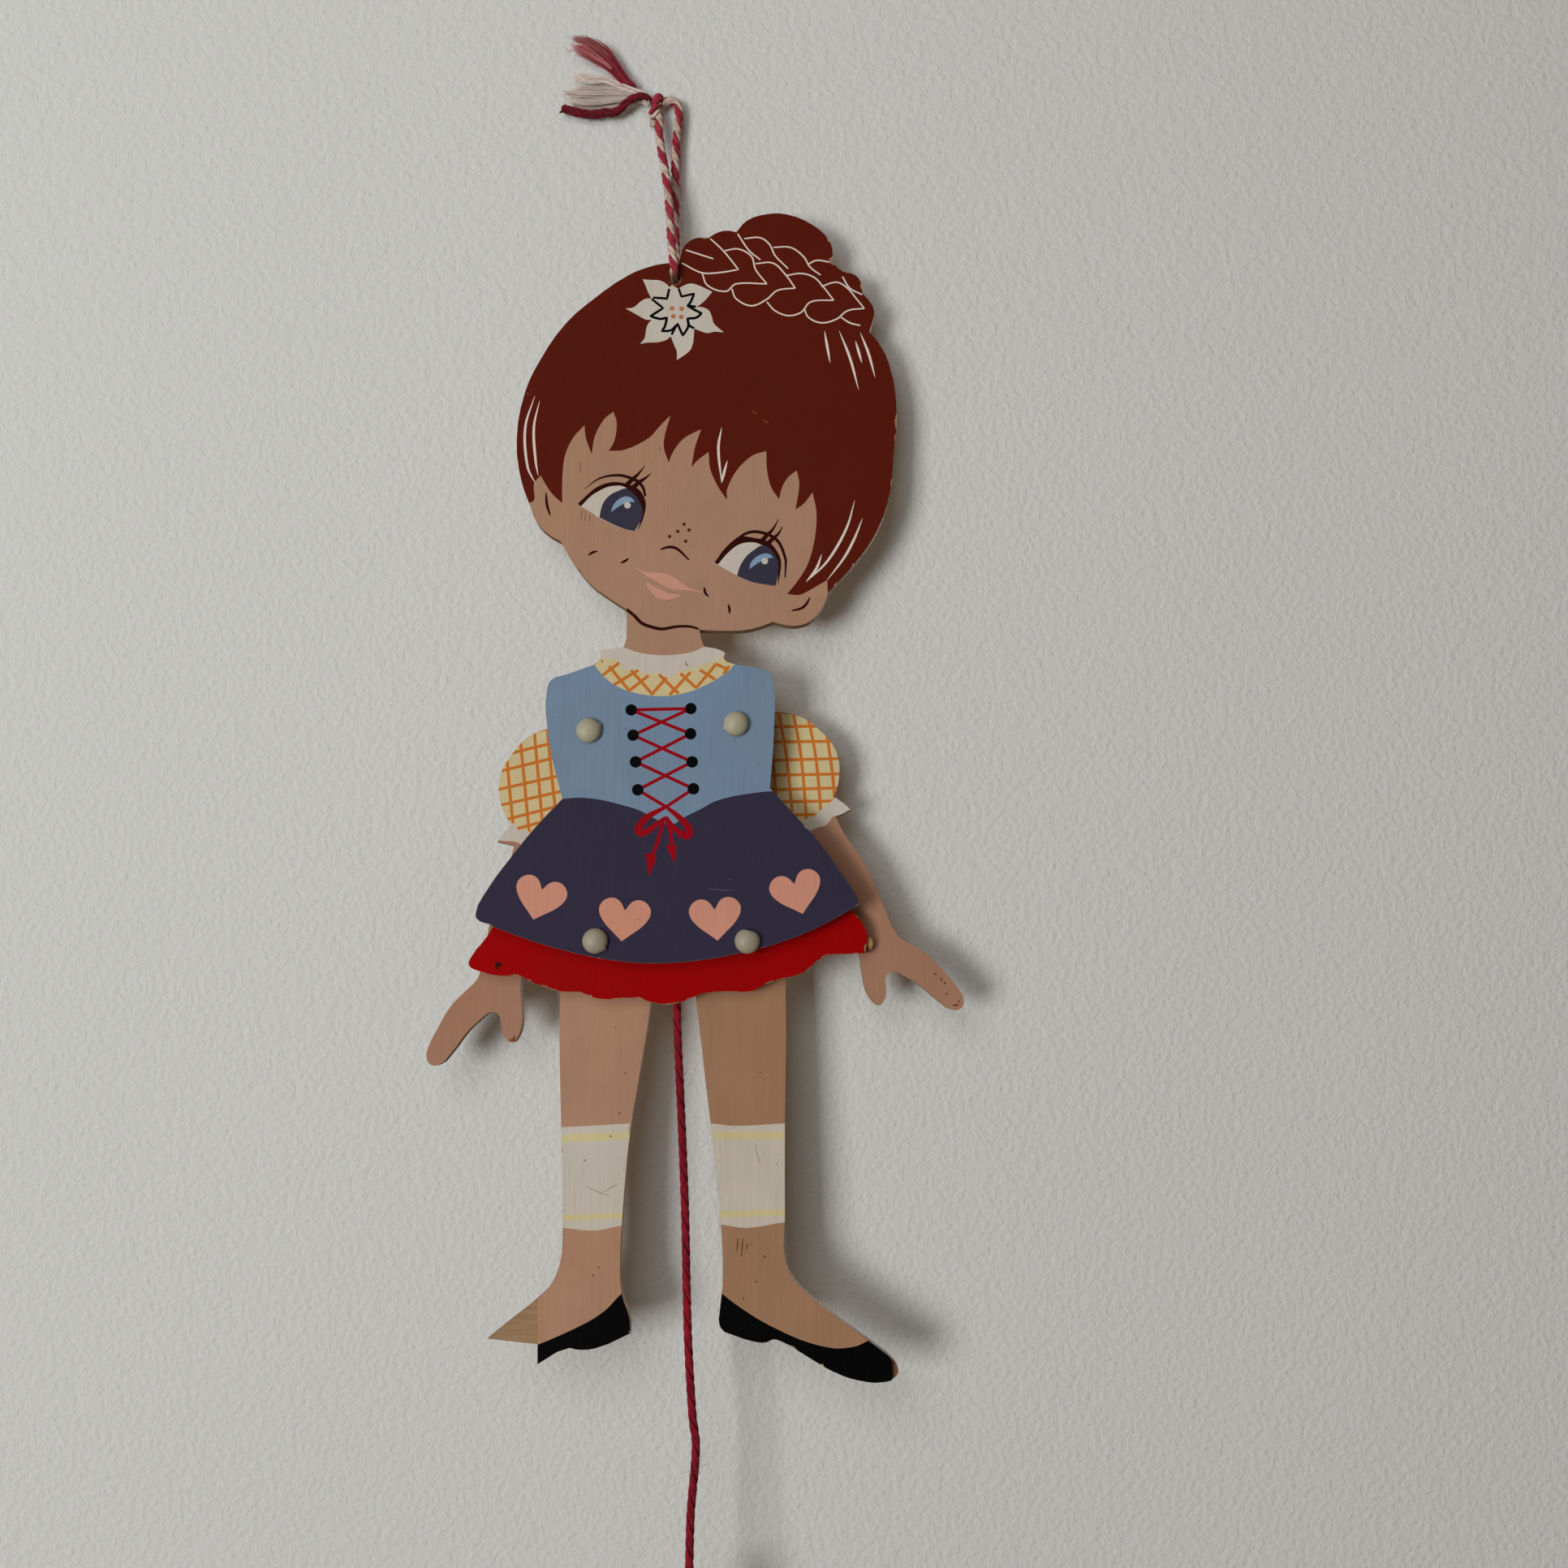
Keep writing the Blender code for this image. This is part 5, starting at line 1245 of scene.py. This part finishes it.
faded = mixed(yarn, worn, spun, FADED_COTTON)
# Below the height given, the yarn is mixed towards dark brown: partly a stain, partly painted shade.
height = node(yarn, "ShaderNodeSeparateXYZ", {0: coordinates["Object"]}).outputs["Z"]
stain_and_shade_share = ranged(yarn, worked(yarn, "SUBTRACT", entry["Stain_and_shade"], height), -0.0008, 0.0014, 0.0, 0.9)
put_out(yarn, mixed(yarn, stain_and_shade_share, faded, STAIN_AND_SHADE_BROWN), ranged(yarn, fibre, 0.3, 0.7, 0.95, 0.8), fibre)


def cotton(name, light, shade, fade=0.0, stain=-1.0):
    """Spun cotton: fine fibres of two shades, faded towards the yarn's end, and darkened below a height,
    partly a stain and partly painted shade.
    """
    values = {"Light": tint(*light), "Shade": tint(*shade), "Fade": fade, "Stain_and_shade": stain}
    material = dressed(name, yarn, values, 0.3, 0.0002, 0.15)
    material.node_tree.nodes["Principled BSDF"].inputs["Sheen Weight"].default_value = 0.12
    return material


def route(points, step):
    """A smooth run through points in space, with a place about every step.

    It is made of the same cubics as a smooth_line, spaced evenly by length.
    """
    sharp = np.zeros((len(points), 1), dtype=bool)
    line = hermite(np.array(points, dtype=float), sharp, closed=False, steps=24)
    run = run_along(line)
    stops = np.linspace(0, run[-1], int(run[-1] / step) + 2)
    return np.stack([np.interp(stops, run, line[:, axis]) for axis in range(3)], axis=1)


def frames(lines, guide):
    """Directions across lines (line, place, xyz).

    They are the guide squared up to the line, and the one that is square to both.
    """
    along = unit(np.gradient(lines, axis=-2))
    guide = np.array(guide, dtype=float)
    side = unit(guide - (along @ guide)[..., None] * along)
    return side, np.cross(along, side)


def tubes(lines, radius, guide, sides):
    """Rings round lines (line, place, xyz): a circle of each place's radius, square to the line."""
    side, other = frames(lines, guide)
    angle = full_turn(sides)[:, None]
    circle = side[..., None, :] * np.cos(angle) + other[..., None, :] * np.sin(angle)
    reach = np.broadcast_to(radius, lines.shape[:-1])
    return lines[..., None, :] + circle * reach[..., None, None]


def plies(line, diameter, pitch, guide, sides=12):
    """Rings of a two-ply twist.

    Two helices of one pitch about the line, half a turn apart. Each is a yarn pressed against the other:
    its section is an ellipse, set out from the line and longer round the line than away from it.
    """
    side, other = frames(line, guide)
    run = run_along(line)
    turn = (2 * np.pi * run / pitch + np.array([[0], [np.pi]]))[..., None]
    out = side * np.cos(turn) + other * np.sin(turn)
    around = other * np.cos(turn) - side * np.sin(turn)
    angle = full_turn(sides)[:, None]
    section = (out[..., None, :] * (PLY_OFFSET + PLY_DEPTH * np.cos(angle))
               + around[..., None, :] * (PLY_WIDTH * np.sin(angle)))
    thickness = np.broadcast_to(diameter, len(line))[:, None, None]
    return line[:, None] + section * thickness


def knot_line(centre, size, along):
    """An overhand knot with its ends along a direction.

    It is the open trefoil (t^3 - 3t, t^4 - 4t^2 + 2, t^5 / 5 - 2t).
    """
    t = np.linspace(-2.08, 2.08, 90)
    wide, deep, long = t**3 - 3 * t, t**4 - 4 * t**2 + 2, t**5 / 5 - 2 * t
    along = unit(np.array(along, dtype=float))
    behind = np.array((0, 1, 0))
    across = np.cross(behind, along)
    shape = wide[:, None] * across * 0.24 + deep[:, None] * behind * 0.2 + long[:, None] * along * 0.22
    return centre + shape * size


pull_cotton = cotton("pull_cord_cotton", PULL_RED, PULL_SHADE)
pull_line = route(PULL_LINE, 0.45)
pull_rings = plies(pull_line, PULL_D, -PULL_PITCH, (0, 1, 0))
pull_cord = rings_mesh("pull_cord_twist", pull_rings, [pull_cotton], "pull_cord")
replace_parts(pull_cord, "pull_cord")


def stopper(knot, centre):
    """A small knot in the pull cord, in place of a CAD node."""
    rings = plies(knot_line(centre, STOPPER_SIZE, (0, 0, 1)), STOPPER_PLY_D, -STOPPER_PITCH, (0.3, 1, 0.2))
    tied = rings_mesh(knot + "_tied", rings, [pull_cotton], "pull_cord")
    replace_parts(tied, knot)
    return tied


top_knot = stopper("cord_top_knot", (3.9, 4.5, -180.85))
end_knot = stopper("bead_knot", (8.5, 4.5, -440.7))

# Pull bead.
# A turned and varnished wooden bead on the end of the cord, to pull by.
BEAD_R = 5.0
BEAD_BORE_R = 1.5
BEAD_CENTRE = (8.5, 4.5, -432.8)
BEAD_WOOD = (196, 150, 96)
BEAD_SIDES = 48
mouth = math.asin(BEAD_BORE_R / BEAD_R)
bead_angle = np.linspace(mouth, np.pi - mouth, 40)
around = full_turn(BEAD_SIDES)
bore_z = np.linspace(-1, 1, 8)[1:-1] * BEAD_R * math.cos(mouth)
bead_z = np.concatenate([BEAD_R * np.cos(bead_angle), bore_z])
bead_r = np.concatenate([BEAD_R * np.sin(bead_angle), np.full(len(bore_z), BEAD_BORE_R)])[:, None]
bead_levels = np.repeat(bead_z[:, None], BEAD_SIDES, axis=1)
bead_shape = np.stack([bead_r * np.cos(around), -bead_r * np.sin(around), bead_levels], axis=-1)
bead_rings = (bead_shape + BEAD_CENTRE)[None]
bead_finish = dressed("bead_varnish", turned_wood, {"Wood": tint(*BEAD_WOOD)}, 0.3, 0.00005, 0.5)
bead_shader = bead_finish.node_tree.nodes["Principled BSDF"]
bead_shader.inputs["Coat Weight"].default_value = 0.6
bead_shader.inputs["Coat Roughness"].default_value = 0.15
bead = rings_mesh("pull_bead_turned", bead_rings, [bead_finish], "pull_cord", looped=True)
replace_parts(bead, "pull_bead")

# Stray fibres of the pull cord.
# Short broken fibres stand off the cord where it hangs in sight, and a tuft of them off one of its bends.
FIBRE_R = 0.035
HIDDEN_PLACES = 180
BROKEN_TUFT = [(10.4, 4.3, -390.6), (10.5, 4.3, -392.2), (10.0, 4.3, -394.2)]


def loose_fibres(line, diameter, count, reach, seed, guide=(0, 1, 0)):
    """Rings of stray fibres.

    Each leaves the cord's surface at a chance place and bearing, bends over along it and curls a little:
    a quadratic in its own length.
    """
    chance = np.random.default_rng(seed)
    side, other = frames(line, guide)
    where = chance.integers(2, len(line) - 2, count)
    bearing = chance.uniform(0, 2 * np.pi, (count, 1))
    out = side[where] * np.cos(bearing) + other[where] * np.sin(bearing)
    along = line[where + 1] - line[where - 1]
    along *= (chance.choice([-1, 1], count) / np.linalg.norm(along, axis=1))[:, None]
    t = np.linspace(0, 1, 7)[None, :, None]
    size = chance.uniform(0.3, 1.0, (count, 1, 1)) * reach
    curl = chance.normal(0, 0.35, (count, 1, 3))
    lines = (line[where] + out * diameter * 0.38)[:, None] + size * (
        out[:, None] * (t - 0.55 * t**2) + along[:, None] * (0.35 * t + 0.6 * t**2) + curl * t**2)
    return tubes(lines, FIBRE_R, (0.31, 0.9, 0.27), 3)


fibre_rings = np.concatenate([
    loose_fibres(pull_line[HIDDEN_PLACES:], PULL_D, count=260, reach=1.6, seed=11),
    loose_fibres(route(BROKEN_TUFT, 0.2), 1.2, count=34, reach=3.0, seed=12)])
fuzz = rings_mesh("pull_cord_fibres", fibre_rings, [pull_cotton], "pull_cord")

# Strings.
# Two natural cotton strings, each looped over a pair of pegs with one turn round the pull cord between
# them; the loops are long enough for the pegs to swing in.
STRING_D = 1.4
STRING_Y = 6.7
LASSO_R = 2.1
STRING_PITCH = 5.0
TURN_R = 2.2
TURN_PITCH = 1.7
# For the left and the right loop: its middle, its height, and half the length of its straight sides.
STRINGS = {
    "arm_string": ((-12.23, -184.19, 1.78), (12.15, -184.10, 1.70)),
    "leg_string": ((-6.94, -244.17, 1.14), (12.94, -244.17, 1.14))}
STRING_LIGHT = (222, 212, 190)
STRING_SHADE = (158, 144, 118)


def lasso(middle, height, straight, toward):
    """A flat loop round a peg: two half circles set apart by twice the straight, left along its bottom."""
    near = np.radians([-10, 30, 60, 90])
    far = np.radians([90, 60, 30, 0, -30, -60, -90])
    x = middle + toward * np.concatenate([
        straight + LASSO_R * np.cos(near), -straight - LASSO_R * np.cos(far), [straight]])
    z = height + np.concatenate([LASSO_R * np.sin(near), LASSO_R * np.sin(far), [-LASSO_R]])
    return np.column_stack([x, np.full(len(x), STRING_Y), z])


string_cotton = cotton("string_cotton", STRING_LIGHT, STRING_SHADE)
for name, (left, right) in STRINGS.items():
    left_loop = lasso(*left, 1)
    right_loop = lasso(*right, -1)
    turn = np.linspace(0, 2 * np.pi, 13)
    drop = (left_loop[-1, 2] + right_loop[-1, 2]) / 2 + TURN_PITCH * (0.5 - turn / (2 * np.pi))
    cord_x, cord_y, _ = PULL_LINE[0]
    wrap = np.column_stack([cord_x + TURN_R * np.sin(turn), cord_y + TURN_R * np.cos(turn), drop])
    line = route(np.vstack([left_loop, wrap, right_loop[::-1]]), 0.3)
    rings = plies(line, STRING_D, -STRING_PITCH, (0, 1, 1), 8)
    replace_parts(rings_mesh(name + "_twist", rings, [string_cotton], "pull_cord"), name)

# Hanging loop and its knot.
# A red and white two-ply cotton cord, both ends tied in one knot at the top: it runs down in front,
# through the hole in the hair and up behind, and the puppet hangs by its arch.
LOOP_D = 2.6
LOOP_PITCH = 9.4
LOOP_LINE = [
    (-3.4, -0.5, -3.2), (-3.1, -0.9, -5.76), (-3.2, -1.53, -9.79), (-2.4, -2.34, -14.98),
    (-0.2, -4.5, -28.8), (1.4, -7.56, -48.38), (2.2, -9.0, -55.6), (2.2, -8.41, -57.01),
    (2.2, -7.0, -57.6), (2.2, -5.0, -57.6), (2.2, -3.0, -57.6), (2.2, -1.59, -57.01),
    (2.2, -1.0, -55.6), (2.1, -0.8, -46.08), (1.8, -0.56, -32.26), (1.7, -0.28, -16.13),
    (2.2, -0.14, -8.06), (2.6, -0.05, -2.88), (2.2, 0, 0.32), (1.2, 0, 1.36), (0, 0, 1.6),
    (-1.36, 0, 1.52), (-2.6, 0, 0.9)]
LOOP_RED = (176, 58, 74)
LOOP_RED_SHADE = (118, 10, 28)
LOOP_WHITE = (216, 196, 182)
LOOP_WHITE_SHADE = (152, 124, 109)
KNOT_CENTRE = (-4.16, 0, -0.7)
KNOT_SIZE = 4.1
KNOT_PLY_D = 3.0
KNOT_PITCH = 12.0
# Below this height the loop lies in the hole in the hair and is painted dark there: partly a stain, partly
# painted shade.
HOLE_STAIN_AND_SHADE = -0.0566
red_cotton = cotton("loop_red_cotton", LOOP_RED, LOOP_RED_SHADE, stain=HOLE_STAIN_AND_SHADE)
white_cotton = cotton("loop_white_cotton", LOOP_WHITE, LOOP_WHITE_SHADE, stain=HOLE_STAIN_AND_SHADE)
loop_line = route(LOOP_LINE, 0.4)
loop_rings = plies(loop_line, LOOP_D, -LOOP_PITCH, (1, 1, 0))
loop = rings_mesh("hanging_loop_twist", loop_rings, [red_cotton, white_cotton], "puppet")
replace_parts(loop, "hanging_loop")
knot_rings = plies(knot_line(KNOT_CENTRE, KNOT_SIZE, (0.55, 0, -1)), KNOT_PLY_D, KNOT_PITCH, (0.3, 1, 0.2))
loop_knot = rings_mesh("loop_knot_tied", knot_rings, [red_cotton, white_cotton], "puppet")
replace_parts(loop_knot, "loop_knot")

# Frayed ends of the loop.
# Past the knot the cord has come apart: a red tuft above, two white locks, and a red ply below that has
# kept its twist and is dark at its cut end.


def frayed(points, spread, locks, fibres, seed, thickness, ragged, loose=0.55, flat=0.5):
    """Rings of a frayed bundle's fibres.

    The bundle's middle runs smoothly through points, and its half width follows spread, whose values are
    spaced evenly along it. The locks share that width out evenly. A lock lies at its own depth, waves a
    little across and ends a chance share of the length early; its fibres keep close to it and come apart
    towards their ends.
    """
    chance = np.random.default_rng(seed)
    middle = route(points, 0.3)
    count = locks * fibres
    lock = np.repeat(np.arange(locks), fibres)
    across = (2 * lock + 1) / locks - 1 + chance.normal(0, loose / locks, count)
    deep = chance.uniform(-1, 1, locks)[lock] + chance.normal(0, 0.25, count)
    ends = (1 - ragged * chance.uniform(0, 1, locks)[lock]) * chance.uniform(0.88, 1, count)
    phase = chance.uniform(0, 2 * np.pi, locks)[lock]
    rate = chance.uniform(3, 8, locks)[lock]
    t = np.linspace(0, 1, 18) * ends[:, None]
    share = np.linspace(0, 1, len(middle))
    centre = np.stack([np.interp(t, share, middle[:, axis]) for axis in range(3)], axis=-1)
    width = np.interp(t, np.linspace(0, 1, len(spread)), spread)
    wave = 0.4 * t * np.sin(phase[:, None] + rate[:, None] * t)
    wave += chance.normal(0, 0.35, (count, 1)) * t**3
    side, other = frames(centre, (0, 1, 0))
    behind = (flat * width * deep[:, None])[..., None]
    aside = (width * across[:, None] + wave)[..., None]
    lines = centre + side * behind + other * aside
    return tubes(lines, thickness / 2 * np.linspace(1, 0.6, 18), (0.2, 1, 0.15), 4)


RED_TUFT = [
    (-5.2, 0.8, 1.6), (-8.0, 1.3, 3.2), (-11.0, 0.9, 5.5), (-14.0, -0.3, 8.0), (-17.0, -0.4, 11.6),
    (-20.3, -0.2, 15.0), (-23.8, 0, 17.9), (-27.0, 0, 19.6), (-31.0, 0, 20.4)]
RED_TOP = [
    (-10.6, -0.6, 6.4), (-13.2, -0.6, 9.0), (-15.6, -0.6, 12.6), (-17.6, -0.6, 16.2),
    (-20.6, -0.6, 19.6), (-24.2, -0.6, 22.4)]
WHITE_UPPER = [
    (-5.6, -0.4, 1.2), (-8.4, -0.8, 3.3), (-12.6, -0.5, 5.0), (-16.2, 0, 6.9), (-19.6, 0, 8.4),
    (-22.4, 0, 8.4), (-24.3, 0, 8.3), (-26.5, 0, 9.0), (-31.6, 0, 9.6)]
WHITE_MAIN = [
    (-6.0, 0, 0.8), (-8.6, 0, 2.5), (-12.0, 0, 2.8), (-15.8, 0, 2.4), (-20.1, 0, 2.2), (-23.9, 0, 2.0),
    (-27.9, 0, 2.4), (-31.1, 0, 3.0), (-33.6, 0, 3.4)]
RED_PLY = [
    (-5.8, -0.6, 1.4), (-7.7, -1.6, 2.3), (-10.8, -1.7, 1.7), (-13.2, -1.2, 0.3), (-15.4, -0.6, -1.6),
    (-17.3, -0.3, -2.2), (-19.4, 0, -2.0), (-22.2, 0, -2.5), (-25.4, 0, -2.5), (-28.5, 0, -1.8),
    (-30.7, 0, -1.2), (-32.6, 0, -0.7)]
CUT_END = [(-30.2, 0, -1.3), (-31.6, 0, -1.0), (-33.4, 0, -0.5)]
# Light and shade of each yarn.
TUFT_RED = ((180, 34, 58), (72, 0, 12))
TUFT_PALE = ((226, 146, 148), (172, 52, 68))
TUFT_WHITE = ((240, 226, 216), (180, 160, 149))
PLY_RED = ((130, 18, 36), (66, 2, 12))
CUT_DARK = ((92, 20, 26), (36, 8, 10))
# Shares of the ply's length, and its diameter there.
PLY_TAPER = ((0, 0.15, 0.5, 0.93, 1), (1.8, 2.2, 2.7, 2.7, 2.2))
PLY_PITCH = 12.0
tuft_red = cotton("tuft_red_cotton", *TUFT_RED, fade=0.7)
tuft_pale = cotton("tuft_pale_cotton", *TUFT_PALE)
ply_red = cotton("ply_red_cotton", *PLY_RED)
tuft_white = cotton("tuft_white_cotton", *TUFT_WHITE)
cut_end = cotton("cut_end_cotton", *CUT_DARK)
red_rings = np.concatenate([
    frayed(RED_TUFT, (0.8, 1.1, 1.3, 2.0, 2.9, 3.3, 3.4), locks=14, fibres=30, seed=21,
           thickness=0.2, ragged=0.18),
    frayed(RED_TOP, (0.3, 0.5, 0.7, 0.9), locks=9, fibres=2, seed=25, thickness=0.14, ragged=0.3)])
red_tuft = rings_mesh("tassel_red_upper_frayed", red_rings, [tuft_red], "puppet")
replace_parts(red_tuft, "tassel_red_upper")
pale_rings = frayed(RED_TUFT[4:], (0.9, 1.8, 2.7, 3.1), locks=8, fibres=8, seed=26,
                    thickness=0.17, ragged=0.3, loose=0.9, flat=0.8)
pale_tuft = rings_mesh("tassel_red_faded", pale_rings, [tuft_pale], "puppet")
white_rings = np.concatenate([
    frayed(WHITE_UPPER, (0.7, 0.8, 1.0, 1.0, 1.1, 1.3), locks=5, fibres=30, seed=22,
           thickness=0.2, ragged=0.12, loose=1.0),
    frayed(WHITE_MAIN, (0.8, 1.2, 2.1, 2.9, 3.0, 2.7, 2.3), locks=13, fibres=34, seed=23,
           thickness=0.2, ragged=0.16, loose=1.0)])
white_tuft = rings_mesh("tassel_white_frayed", white_rings, [tuft_white], "puppet")
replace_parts(white_tuft, "tassel_white")
ply_line = route(RED_PLY, 0.3)
ply_d = np.interp(np.linspace(0, 1, len(ply_line)), *PLY_TAPER)
ply_rings = plies(ply_line, ply_d, PLY_PITCH, (0, 1, 0))
red_ply = rings_mesh("tassel_red_lower_ply", ply_rings, [ply_red], "puppet")
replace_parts(red_ply, "tassel_red_lower")
end_rings = frayed(CUT_END, (1.1, 1.2, 1.2), locks=6, fibres=16, seed=24, thickness=0.18, ragged=0.5)
ply_end = rings_mesh("ply_cut_end", end_rings, [cut_end], "puppet")
stray_rings = np.concatenate([
    loose_fibres(loop_line, LOOP_D, count=120, reach=1.6, seed=31, guide=(1, 1, 0)),
    loose_fibres(route(RED_TUFT[2:], 0.3), 3.0, count=60, reach=4.5, seed=32),
    loose_fibres(ply_line, 2.2, count=60, reach=2.2, seed=33)])
stray = rings_mesh("loop_fibres", stray_rings, [tuft_red], "puppet")
white_stray_rings = loose_fibres(route(WHITE_MAIN[2:], 0.3), 4.0, count=60, reach=3.0, seed=34)
stray_white = rings_mesh("white_fibres", white_stray_rings, [tuft_white], "puppet")
